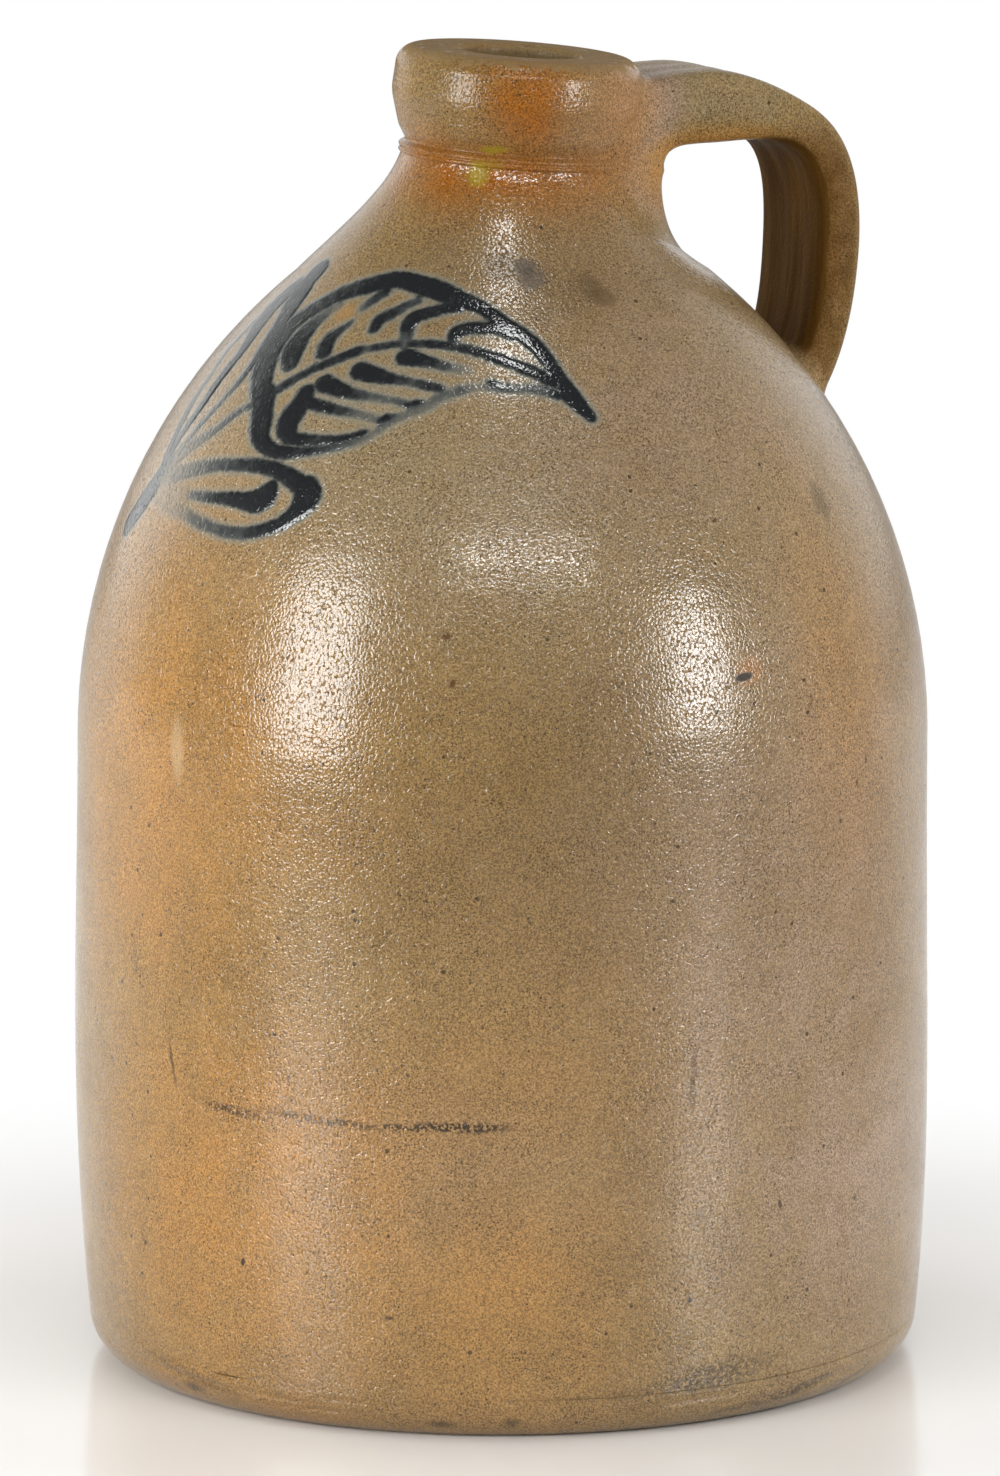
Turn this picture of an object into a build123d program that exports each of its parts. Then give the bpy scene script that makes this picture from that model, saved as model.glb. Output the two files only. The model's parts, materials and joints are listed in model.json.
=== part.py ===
"""A wheel-thrown stoneware jug with a leaning neck, a heavy collar and a pulled strap handle.

The jug is built as the potter builds it: a floor, a wall raised on the floor, a shoulder
capped onto the wall, a throat drawn in from the shoulder, a collar luted round the mouth,
and a strap handle stuck on with a wad of clay at each end. A brown slip lines the inside.

The jug stands on the XY plane. Its thrown axis is Z and its handle points to +X.
Lengths are in millimetres, angles in degrees.
"""

import os
from math import cos, radians, sin, sqrt, tan

from build123d import *

# Floor and wall
foot_radius = 103.0
heel_radius = 110.2
floor_thickness = 11.0
heel_flare = 5.5
belly_radius = 113.6
belly_height = 100.0
shoulder_radius = 112.3
shoulder_height = 166.0
wall = 9.0

# Shoulder dome and throat
dome_top_radius = 55.3
dome_top_height = 288.0
neck_lean = 5.0
throat_height = 30.6
throat_stations = 5
neck_radius = 29.4
neck_taper = 0.25

# Collar and mouth
bore_radius = 16.5
bead_height = 3.6
bead_bulge = 0.9
groove_depth = 0.8
collar_height = 25.0
collar_foot_radius = 30.9
collar_undercut = 4.8
collar_lip_radius = 32.7
collar_foot_round = 4.5
collar_lip_round = 5.5
mouth_round = 2.4

# Strap handle
handle_root_drop = 26.0
handle_crown_drop = 18.7
handle_crown_setback = 28.3
handle_knee_drop = 28.8
handle_knee_setback = 6.3
handle_reach_drop = 62.0
handle_foot_rise = 86.5
handle_sink = 9.0
handle_foot_lean = 40.0
finger_room = 31.3
strap_root_width = 35.5
strap_foot_width = 33.4
strap_root_thickness = 19.4
strap_foot_thickness = 12.8
strap_thins_from = 0.32
strap_thins_to = 0.50
strap_edge_round = 5.0
strap_edge_limit = 0.45
strap_stations = 13

# Wads of clay smoothed round the ends of the handle
lute_edge = 0.5
lute_stations = 5
upper_lute_side = 9.0
upper_lute_over = 1.0
upper_lute_under = 16.0
upper_lute_length = 16.0
upper_lute_bury = 7.0
lower_lute_side = 7.0
lower_lute_over = 5.0
lower_lute_under = 6.0
lower_lute_length = 9.0
lower_lute_bury = 7.0

# Slip lining
slip_coat = 0.5

# Points and curves worked out from the sizes above
upright = (0, 1)
dome_rise = dome_top_height - shoulder_height
dome_inset = shoulder_radius - dome_top_radius
dome_arc = (dome_rise**2 + dome_inset**2) / (2 * dome_inset)
neck_base = Vector(0, 0, dome_top_height)
neck_axis = Vector(sin(radians(neck_lean)), 0, cos(radians(neck_lean)))
collar_base = neck_base + neck_axis * throat_height
lip_centre = collar_base + neck_axis * (bead_height + collar_height)


def wall_outline(depth):
    """The wall's curve from the floor up to the shoulder, a depth inside its outer face."""
    return Spline(
        (heel_radius - depth, floor_thickness),
        (belly_radius - depth, belly_height),
        (shoulder_radius - depth, shoulder_height),
        tangents=[(tan(radians(heel_flare)), 1), upright],
    )


def dome_radius(height, depth=0.0):
    """Radius of the shoulder at a height, a depth inside its outer face."""
    return shoulder_radius - dome_arc + sqrt((dome_arc - depth) ** 2 - (height - shoulder_height) ** 2)


def dome_slope(depth):
    """How fast the shoulder's radius shrinks with height where the throat starts."""
    return -dome_rise / sqrt((dome_arc - depth) ** 2 - dome_rise**2)


def dome_outline(depth):
    """The shoulder's arc, upright where it leaves the wall."""
    start = (shoulder_radius - depth, shoulder_height)
    return TangentArc(start, (dome_radius(dome_top_height, depth), dome_top_height), tangent=upright)


def throat_radius(share, start, end, start_slope, end_slope):
    """Radius at a share of the throat's height, eased from the shoulder's slope into the neck's."""
    rest = 1 - share
    ends = start * rest**2 * (1 + 2 * share) + end * share**2 * (3 - 2 * share)
    slopes = start_slope * share * rest**2 - end_slope * share**2 * rest
    return ends + throat_height * slopes


def throat_plane(share):
    """Plane of a throat section, level on the shoulder and square to the neck at the collar."""
    tilt = radians(neck_lean * share * (2 - share))
    origin = neck_base + neck_axis * (throat_height * share)
    return Plane(origin, x_dir=(cos(tilt), 0, -sin(tilt)), z_dir=(sin(tilt), 0, cos(tilt)))


# Plane through the neck's axis, with its own Y along that axis
lean_direction = (cos(radians(neck_lean)), 0, -sin(radians(neck_lean)))
collar_plane = Plane(collar_base, x_dir=lean_direction, z_dir=(0, -1, 0))
collar_axis = Axis(collar_base, neck_axis)

# Floor: a flat slab with a rounded heel, which carries the wall on its rim
with BuildPart() as base_floor:
    with BuildSketch(Plane.XZ):
        with BuildLine():
            floor_top = Line((0, floor_thickness), (heel_radius, floor_thickness))
            heel = TangentArc(floor_top @ 1, (foot_radius, 0), tangent=(0, -1))
            Polyline(heel @ 1, (0, 0), floor_top @ 0)
        make_face()
    revolve(axis=Axis.Z)

# Wall: a slightly barrelled cylinder standing on the floor
with BuildPart() as body_wall:
    with BuildSketch(Plane.XZ):
        with BuildLine():
            wall_outer = wall_outline(0)
            wall_inner = wall_outline(wall)
            Line(wall_outer @ 0, wall_inner @ 0)
            Line(wall_outer @ 1, wall_inner @ 1)
        make_face()
    revolve(axis=Axis.Z)

# Shoulder: the outer form whole, then hollowed
with BuildPart() as dome_form:
    with BuildSketch(Plane.XZ):
        with BuildLine():
            dome_outer = dome_outline(0)
            Polyline(dome_outer @ 1, (0, dome_top_height), (0, shoulder_height), dome_outer @ 0)
        make_face()
    revolve(axis=Axis.Z)

with BuildPart() as shoulder_dome:
    add(dome_form.part)
    with BuildSketch(Plane.XZ):
        with BuildLine():
            dome_inner = dome_outline(wall)
            Polyline(dome_inner @ 1, (0, dome_top_height), (0, shoulder_height), dome_inner @ 0)
        make_face()
    revolve(axis=Axis.Z, mode=Mode.SUBTRACT)

# Throat: drawn in from the shoulder while it leans over towards the handle
throat_shares = [station / (throat_stations - 1) for station in range(throat_stations)]

with BuildPart() as throat_form:
    for share in throat_shares:
        with BuildSketch(throat_plane(share)):
            Circle(throat_radius(share, dome_top_radius, neck_radius, dome_slope(0), -neck_taper))
    loft()

with BuildPart() as neck_throat:
    add(throat_form.part)
    for share in throat_shares:
        with BuildSketch(throat_plane(share)):
            Circle(throat_radius(share, dome_radius(dome_top_height, wall), bore_radius, dome_slope(wall), 0))
    loft(mode=Mode.SUBTRACT)

# Collar: a bead and a groove under a heavy rounded lip, bored straight for a stopper
with BuildPart() as collar_form:
    with BuildSketch(collar_plane) as collar_section:
        with BuildLine():
            neck_edge = Line((0, 0), (neck_radius, 0))
            groove = (neck_radius - groove_depth, bead_height)
            bead = ThreePointArc(neck_edge @ 1, (neck_radius + bead_bulge, bead_height / 2), groove)
            foot_corner = (collar_foot_radius, bead_height + collar_undercut)
            lip_corner = (collar_lip_radius, bead_height + collar_height)
            Polyline(bead @ 1, foot_corner, lip_corner, (0, bead_height + collar_height), neck_edge @ 0)
        make_face()
        fillet(collar_section.vertices().sort_by_distance(foot_corner)[0], collar_foot_round)
        fillet(collar_section.vertices().sort_by_distance(lip_corner)[0], collar_lip_round)
    revolve(axis=collar_axis)

with BuildPart() as collar_lip:
    add(collar_form.part)
    with Locations(Plane(lip_centre, x_dir=lean_direction, z_dir=neck_axis)):
        Hole(bore_radius, depth=bead_height + collar_height)
    lip_top = collar_lip.faces().filter_by(GeomType.PLANE).sort_by(collar_axis)[-1]
    fillet(lip_top.inner_wires()[0].edges(), mouth_round)

# Line of the handle: out of the collar, over the crown and the knee, and down onto the shoulder
handle_root = neck_base + neck_axis * (throat_height + bead_height + collar_height - handle_root_drop)
reach_height = lip_centre.Z - handle_reach_drop
handle_reach = dome_radius(reach_height) + finger_room + strap_foot_thickness / 2
foot_height = shoulder_height + handle_foot_rise
handle_landing = Vector(dome_radius(foot_height), 0, foot_height)
foot_lean = radians(handle_foot_lean)
handle_end = handle_landing - Vector(sin(foot_lean), 0, cos(foot_lean)) * handle_sink

with BuildLine(Plane.XZ) as handle_line:
    Spline(
        (handle_root.X, handle_root.Z),
        (handle_reach - handle_crown_setback, lip_centre.Z - handle_crown_drop),
        (handle_reach - handle_knee_setback, lip_centre.Z - handle_knee_drop),
        (handle_reach, reach_height),
        (handle_landing.X, handle_landing.Z),
        (handle_end.X, handle_end.Z),
    )

handle_path = handle_line.wires()[0]


def strap_plane(distance):
    """Plane across the handle at a distance along its line, with Y towards its outer face."""
    share = distance / handle_path.length
    return Plane(handle_path @ share, x_dir=(0, 1, 0), z_dir=handle_path % share)


def strap_outline(distance, side, over, under):
    """Rounded section of the handle, grown at its sides, over its outer face and under its inner one."""
    share = distance / handle_path.length
    width = strap_root_width + (strap_foot_width - strap_root_width) * share + 2 * side
    thinned = min(max((share - strap_thins_from) / (strap_thins_to - strap_thins_from), 0), 1)
    easing = thinned**2 * (3 - 2 * thinned)
    strap_thickness = strap_root_thickness + (strap_foot_thickness - strap_root_thickness) * easing
    thickness = strap_thickness + over + under
    edge_round = min(strap_edge_round, strap_edge_limit * strap_thickness)
    with Locations((0, (over - under) / 2)):
        RectangleRounded(width, thickness, edge_round)


def flare(size, share):
    """How far a smoothed wad stands off the handle at a share of its length, widest at the vessel."""
    return lute_edge + (size - lute_edge) * (1 - sqrt(1 - (1 - share) ** 2))


# Handle: a pulled strap, trimmed to lie on the vessel
with BuildPart() as handle_form:
    for station in range(strap_stations):
        along = handle_path.length * station / (strap_stations - 1)
        with BuildSketch(strap_plane(along)):
            strap_outline(along, side=0, over=0, under=0)
    loft()

with BuildPart() as strap_handle:
    add(handle_form.part)
    for form in (collar_form, throat_form, dome_form):
        add(form.part, mode=Mode.SUBTRACT)

# Upper wad: smoothed from the handle onto the collar and down the neck
upper_face = collar_lip_radius
with BuildPart() as upper_handle_lute:
    for station in range(lute_stations):
        share = station / (lute_stations - 1)
        along = upper_face - upper_lute_bury * (1 - share) ** 2 + upper_lute_length * share
        with BuildSketch(strap_plane(along)):
            strap_outline(
                along,
                side=flare(upper_lute_side, share),
                over=flare(upper_lute_over, share),
                under=flare(upper_lute_under, share),
            )
    loft()
    for form in (handle_form, collar_form, throat_form, dome_form):
        add(form.part, mode=Mode.SUBTRACT)

# Lower wad: pressed out round the end of the handle on the shoulder
lower_face = handle_path.length - handle_sink
with BuildPart() as lower_handle_lute:
    for station in range(lute_stations):
        share = station / (lute_stations - 1)
        along = lower_face + lower_lute_bury * (1 - share) ** 2 - lower_lute_length * share
        with BuildSketch(strap_plane(along)):
            strap_outline(
                along,
                side=flare(lower_lute_side, share),
                over=flare(lower_lute_over, share),
                under=flare(lower_lute_under, share),
            )
    loft()
    for form in (handle_form, throat_form, dome_form):
        add(form.part, mode=Mode.SUBTRACT)


def cavity_outline(depth):
    """Half the hollow's section, a depth inside the outer face, closed along the axis."""
    wall_face = wall_outline(depth)
    dome_face = dome_outline(depth)
    Polyline(dome_face @ 1, (0, dome_top_height), (0, floor_thickness), wall_face @ 0)


# Lining: a coat of brown slip on the floor, the wall and the shoulder inside
with BuildPart() as slip_lining:
    with BuildSketch(Plane.XZ):
        with BuildLine():
            cavity_outline(wall)
        make_face()
        with BuildLine():
            cavity_outline(wall + slip_coat)
        make_face(mode=Mode.SUBTRACT)
        with Locations((0, floor_thickness)):
            Rectangle(heel_radius - wall - slip_coat / 2, slip_coat, align=(Align.MIN, Align.MIN))
    revolve(axis=Axis.Z)

pieces = {
    "base_floor": base_floor,
    "body_wall": body_wall,
    "shoulder_dome": shoulder_dome,
    "neck_throat": neck_throat,
    "collar_lip": collar_lip,
    "strap_handle": strap_handle,
    "upper_handle_lute": upper_handle_lute,
    "lower_handle_lute": lower_handle_lute,
    "slip_lining": slip_lining,
}

os.makedirs("parts", exist_ok=True)
for name, piece in pieces.items():
    piece.part.label = name
    export_step(piece.part, f"parts/{name}.step")
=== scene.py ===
"""Salt-glazed stoneware jug with a pulled handle and a brushed cobalt leaf, on a pale studio floor."""

from __future__ import annotations

import json
import logging
import math
from collections.abc import Callable, Sequence
from dataclasses import dataclass, field
from enum import Enum
from functools import reduce

import bpy
import numpy as np
from mathutils import Euler, Matrix, Vector

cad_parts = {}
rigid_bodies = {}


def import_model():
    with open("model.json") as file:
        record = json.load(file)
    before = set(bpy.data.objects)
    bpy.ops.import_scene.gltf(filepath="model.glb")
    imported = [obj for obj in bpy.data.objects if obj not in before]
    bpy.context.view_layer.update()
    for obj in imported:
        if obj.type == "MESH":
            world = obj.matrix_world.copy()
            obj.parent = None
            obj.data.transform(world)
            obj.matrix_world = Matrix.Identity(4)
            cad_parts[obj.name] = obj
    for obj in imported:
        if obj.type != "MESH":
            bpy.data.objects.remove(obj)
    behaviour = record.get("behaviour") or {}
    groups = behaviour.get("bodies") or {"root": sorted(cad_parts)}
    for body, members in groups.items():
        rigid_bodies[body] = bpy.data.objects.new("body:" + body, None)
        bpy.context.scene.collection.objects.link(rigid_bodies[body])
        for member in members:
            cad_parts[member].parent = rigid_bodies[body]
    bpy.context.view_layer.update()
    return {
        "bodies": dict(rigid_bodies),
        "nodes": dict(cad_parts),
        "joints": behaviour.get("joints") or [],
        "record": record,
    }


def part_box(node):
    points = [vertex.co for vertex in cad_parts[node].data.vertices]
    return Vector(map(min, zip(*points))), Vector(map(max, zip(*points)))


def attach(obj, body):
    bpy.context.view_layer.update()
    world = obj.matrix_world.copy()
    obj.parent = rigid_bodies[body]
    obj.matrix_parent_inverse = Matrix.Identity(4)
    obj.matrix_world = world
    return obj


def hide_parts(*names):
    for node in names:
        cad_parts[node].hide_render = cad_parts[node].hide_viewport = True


LOG = logging.getLogger("jug")
MM = 0.001
BODY = "root"
GLAZE_SLOT = "salt_glaze"
TINY = 1e-9
WHITE = (1.0, 1.0, 1.0)

Array = np.ndarray
Colour = tuple[float, float, float]
Pixel = tuple[float, float]
Dab = tuple[float, float, float, float]
Socket = bpy.types.NodeSocket
Feed = Socket | float | int | str | tuple | None


class Blush(Enum):
    """The ways the kiln coloured the clay, each kept as an attribute of the mesh."""

    WARM = "blush_warm"
    ROSE = "blush_rose"
    ASH = "blush_ash"
    UMBER = "blush_umber"
    RUST = "blush_rust"


class Trace(Enum):
    """Other attributes that the meshes carry for the wheel and the glaze."""

    SKIN = "skin"
    DENT = "dent"
    BARE = "bare_clay"
    SLIP = "slip_inside"
    COMB = "combing"
    COBALT = "cobalt"
    LOAD = "cobalt_load"
    # Dark wash inside the handle, also laid as painted shade on the upright strap's flanks.
    WASH = "iron_wash"
    ALONG = "strap_along"
    ACROSS = "strap_across"


def ease(value: Array | float, low: float, high: float) -> Array | float:
    """Rises smoothly from 0 at low to 1 at high."""
    share = np.clip((value - low) / (high - low), 0.0, 1.0)
    return share * share * (3.0 - 2.0 * share)


def hermite(share: Array, span: float, ends: tuple[float, float], slopes: tuple[float, float]) -> Array:
    """Eases a radius from one height to another with given slopes.

    Args:
        share: Place between the two heights, from 0 to 1.
        span: Distance between the two heights.
        ends: Radius at each height.
        slopes: Change of radius with height at each end.

    Returns:
        The radius at each share.
    """
    rest = 1.0 - share
    level = ends[0] * rest**2 * (1 + 2 * share) + ends[1] * share**2 * (3 - 2 * share)
    return level + span * (slopes[0] * share * rest**2 - slopes[1] * share**2 * rest)


def unit(rows: Array) -> Array:
    """Scales each row to a length of 1."""
    return rows / np.maximum(np.linalg.norm(rows, axis=1), TINY)[:, None]


def travel(line: Array) -> Array:
    """Distance along a line at each of its points."""
    return np.concatenate([[0], np.cumsum(np.linalg.norm(np.diff(line, axis=0), axis=1))])


def headings(line: Array) -> Array:
    """Unit direction of a line at each of its points."""
    return unit(np.gradient(line, axis=0))


def steepest(shape: Callable[[Array], Array], places: Array, near: float) -> Array:
    """Finds the way in which the distance to a shape grows fastest.

    Args:
        shape: Distance from places to the shape.
        places: Places to look from, one row each.
        near: How far to either side the distance is compared.

    Returns:
        The unit direction at each place.
    """
    steps = np.eye(3) * near
    return unit(np.column_stack([shape(places + step) - shape(places - step) for step in steps]))


def spread(line: Array, step: float) -> Array:
    """Divides a line into short steps.

    Args:
        line: Points of the line, one row each.
        step: Largest distance between two points.

    Returns:
        The points of the divided line.
    """
    parts = []
    for start, end in zip(line, line[1:]):
        count = max(math.ceil(np.linalg.norm(end - start) / step), 1)
        shares = np.arange(count)[:, None] / count
        parts.append(start + (end - start) * shares)
    return np.vstack([*parts, line[-1:]])


def rounded(corners: Sequence[tuple[float, float, float]], step: float) -> Array:
    """Outline through corners that are each turned on their own radius.

    Args:
        corners: Radius, height and rounding of each corner.
        step: Largest distance between the points of the outline.

    Returns:
        The points of the outline, from the first corner to the last.
    """
    straight = 1e-3
    spots = np.array([corner[:2] for corner in corners], float)
    line = [spots[0]]
    for before, at, after, (_, _, size) in zip(spots, spots[1:], spots[2:], corners[1:]):
        back = (before - at) / np.linalg.norm(before - at)
        ahead = (after - at) / np.linalg.norm(after - at)
        half = math.acos(float(np.clip(back @ ahead, -1, 1))) / 2
        turn = math.pi - 2 * half
        if size <= 0 or turn < straight:
            line.append(at)
            continue
        middle = (back + ahead) / np.linalg.norm(back + ahead)
        centre = at + middle * size / math.sin(half)
        first = at + back * size / math.tan(half) - centre
        last = at + ahead * size / math.tan(half) - centre
        for share in np.linspace(0, 1, max(math.ceil(size * turn / step), 2) + 1):
            arc = math.sin((1 - share) * turn) * first + math.sin(share * turn) * last
            line.append(centre + arc / math.sin(turn))
    line.append(spots[-1])
    return spread(np.array(line), step)


def smooth_line(points: Array, count: int) -> Array:
    """Smooth line through points, whose bend changes evenly and dies away at its two ends.

    Args:
        points: Points to pass through, one row each.
        count: Number of points on the line.

    Returns:
        Points of the line, evenly spaced along its chords.
    """
    knots = travel(points)
    gaps = np.diff(knots)
    size = len(points)
    system = np.eye(size)
    bends = np.zeros_like(points)
    for i in range(1, size - 1):
        system[i, i - 1 : i + 2] = gaps[i - 1], 2 * (gaps[i - 1] + gaps[i]), gaps[i]
        bends[i] = 6 * ((points[i + 1] - points[i]) / gaps[i] - (points[i] - points[i - 1]) / gaps[i - 1])
    bends = np.linalg.solve(system, bends)
    where = np.linspace(0, knots[-1], count)
    span = np.clip(np.searchsorted(knots, where, side="right") - 1, 0, size - 2)
    width = gaps[span][:, None]
    share = ((where - knots[span]) / gaps[span])[:, None]
    rest = 1 - share
    chord = points[span] * rest + points[span + 1] * share
    curve = (rest**3 - rest) * bends[span] + (share**3 - share) * bends[span + 1]
    return chord + curve * width**2 / 6


class Wiring:
    """Adds nodes to one tree and joins them, so that a tree reads as formulas."""

    def __init__(self, tree: bpy.types.NodeTree) -> None:
        """Keeps the tree that the nodes go into."""
        self.tree = tree

    def node(self, kind: str, feeds: Sequence[Feed] | dict = (), **settings: object) -> bpy.types.Node:
        """Adds a node.

        Args:
            kind: Blender's name for the node.
            feeds: Values or sockets for its inputs, in order or by name.
            settings: Properties of the node.

        Returns:
            The new node.
        """
        made = self.tree.nodes.new(kind)
        for name, value in settings.items():
            setattr(made, name, value)
        pairs = feeds.items() if isinstance(feeds, dict) else enumerate(feeds)
        for key, feed in pairs:
            self.join(feed, made.inputs[key])
        return made

    def join(self, feed: Feed, socket: Socket) -> None:
        """Links a socket to an input, or sets the input's own value.

        Args:
            feed: Socket or value, or None to leave the input as it is.
            socket: Input of a node.
        """
        if feed is None:
            return
        if isinstance(feed, bpy.types.NodeSocket):
            self.tree.links.new(feed, socket)
        elif isinstance(feed, tuple) and socket.type == "RGBA":
            socket.default_value = (*feed[:3], 1.0)
        else:
            socket.default_value = feed

    def math(self, operation: str, *feeds: Feed, clamp: bool = False) -> Socket:
        """One step of arithmetic."""
        return self.node("ShaderNodeMath", feeds, operation=operation, use_clamp=clamp).outputs[0]

    def total(self, *feeds: Feed) -> Socket:
        """Sum of several feeds."""
        return reduce(lambda done, feed: self.math("ADD", done, feed), feeds)

    def product(self, *feeds: Feed) -> Socket:
        """Product of several feeds."""
        return reduce(lambda done, feed: self.math("MULTIPLY", done, feed), feeds)

    def less(self, whole: Feed, part: Feed) -> Socket:
        """What is left of a feed when another is taken away."""
        return self.math("SUBTRACT", whole, part)

    def vector(self, operation: str, *feeds: Feed) -> Socket:
        """One step of vector arithmetic that gives a vector."""
        return self.node("ShaderNodeVectorMath", feeds, operation=operation).outputs[0]

    def measure(self, operation: str, *feeds: Feed) -> Socket:
        """One step of vector arithmetic that gives a number."""
        return self.node("ShaderNodeVectorMath", feeds, operation=operation).outputs["Value"]

    def combine(self, *feeds: Feed) -> Socket:
        """A vector from its three parts."""
        return self.node("ShaderNodeCombineXYZ", feeds).outputs[0]

    def parts(self, vector: Feed) -> Sequence[Socket]:
        """The three parts of a vector."""
        return self.node("ShaderNodeSeparateXYZ", [vector]).outputs

    def ramp(self, value: Feed, low: float, high: float, start: float = 0.0, end: float = 1.0) -> Socket:
        """Rises smoothly from start, where the value is low, to end, where it is high."""
        feeds = (value, low, high, start, end)
        return self.node("ShaderNodeMapRange", feeds, interpolation_type="SMOOTHSTEP").outputs[0]

    def blend(self, share: Feed, under: Feed, over: Feed, kind: str = "MIX") -> Socket:
        """Lays one colour over another.

        Args:
            share: How much of the upper colour shows.
            under: The lower colour.
            over: The upper colour.
            kind: Blender's name for the way they mix.

        Returns:
            The mixed colour.
        """
        made = self.node("ShaderNodeMix", data_type="RGBA", blend_type=kind, clamp_factor=True)
        factor, lower, upper = made.inputs[0], made.inputs[6], made.inputs[7]
        for feed, socket in ((share, factor), (under, lower), (over, upper)):
            self.join(feed, socket)
        return made.outputs[2]

    def noise(self, where: Feed, size: float, detail: float = 2.0, roughness: float = 0.5) -> Socket:
        """Soft random pattern whose lumps are about the given size."""
        feeds = {"Vector": where, "Scale": 1.0 / size, "Detail": detail, "Roughness": roughness}
        return self.node("ShaderNodeTexNoise", feeds).outputs[0]

    def trace(self, trace: Trace | Blush) -> Socket:
        """An attribute of the mesh, in a material."""
        return self.node("ShaderNodeAttribute", attribute_name=trace.value).outputs["Fac"]

    def object_place(self, scale: float = 1.0) -> Socket:
        """Place on the object, in metres times a scale."""
        place = self.node("ShaderNodeTexCoord").outputs["Object"]
        return place if scale == 1.0 else self.vector("MULTIPLY", place, (scale,) * 3)

    def bump(self, height: Feed, strength: float, distance: float) -> Socket:
        """Surface direction of a relief of the given height."""
        feeds = {"Strength": strength, "Distance": distance, "Height": height}
        return self.node("ShaderNodeBump", feeds).outputs[0]

    def surface(self, **feeds: Feed) -> Socket:
        """Makes a principled shader.

        Args:
            feeds: Its inputs, named in lower case with underscores.

        Returns:
            The shader.
        """
        made = self.node("ShaderNodeBsdfPrincipled")
        names = {socket.name.lower().replace(" ", "_"): socket for socket in made.inputs}
        for name, feed in feeds.items():
            self.join(feed, names[name])
        return made.outputs[0]


def fresh_finish(name: str) -> tuple[bpy.types.Material, Wiring]:
    """Makes an empty procedural material.

    Args:
        name: Name of the material.

    Returns:
        The material and the wiring of its nodes.
    """
    made = bpy.data.materials.new(name)
    made.use_nodes = True
    made.node_tree.nodes.clear()
    return made, Wiring(made.node_tree)


def lay_trace(mesh: bpy.types.Mesh, trace: Trace | Blush, values: Array) -> None:
    """Writes one number for each vertex of a mesh."""
    layer = mesh.attributes.get(trace.value) or mesh.attributes.new(trace.value, "FLOAT", "POINT")
    layer.data.foreach_set("value", np.asarray(values, np.float32))


def vertex_rows(mesh: bpy.types.Mesh, what: str) -> Array:
    """Reads a vector of each vertex of a mesh.

    Args:
        mesh: Mesh to read.
        what: Blender's name for the vector, such as co or normal.

    Returns:
        The vectors, one row for each vertex.
    """
    flat = np.empty(len(mesh.vertices) * 3, np.float32)
    mesh.vertices.foreach_get(what, flat)
    return flat.reshape(-1, 3)


def move_vertices(mesh: bpy.types.Mesh, places: Array) -> None:
    """Puts a mesh's vertices at places given in millimetres."""
    mesh.vertices.foreach_set("co", (places * MM).astype(np.float32).ravel())
    mesh.update()


def shade_smooth(mesh: bpy.types.Mesh) -> None:
    """Shades every face of a mesh smooth."""
    mesh.polygons.foreach_set("use_smooth", np.ones(len(mesh.polygons), bool))


def new_piece(name: str, mesh: bpy.types.Mesh) -> bpy.types.Object:
    """Puts a mesh into the scene.

    Args:
        name: Name of the piece.
        mesh: Its mesh.

    Returns:
        The piece, whose object sits at the origin.
    """
    piece = bpy.data.objects.new(name, mesh)
    bpy.context.scene.collection.objects.link(piece)
    return piece


def keep_result(piece: bpy.types.Object) -> None:
    """Turns what a piece's node tree makes into the piece's own plain mesh.

    Args:
        piece: Piece that carries the node tree as its modifier.
    """
    graph = bpy.context.evaluated_depsgraph_get()
    made = bpy.data.meshes.new_from_object(
        piece.evaluated_get(graph), preserve_all_data_layers=True, depsgraph=graph
    )
    piece.modifiers.clear()
    piece.data = made


def hand_over(piece: bpy.types.Object, slot: str, *nodes: str) -> None:
    """Fixes a finished piece to the jug's body and lets it stand for solids of the frame.

    Args:
        piece: The finished piece.
        slot: Material slot of the record; not used.
        nodes: Solids of the frame that it stands for.
    """
    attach(piece, BODY)
    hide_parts(*nodes)
    LOG.info("%s: %d vertices, for %s", piece.name, len(piece.data.vertices), ", ".join(nodes))


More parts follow.
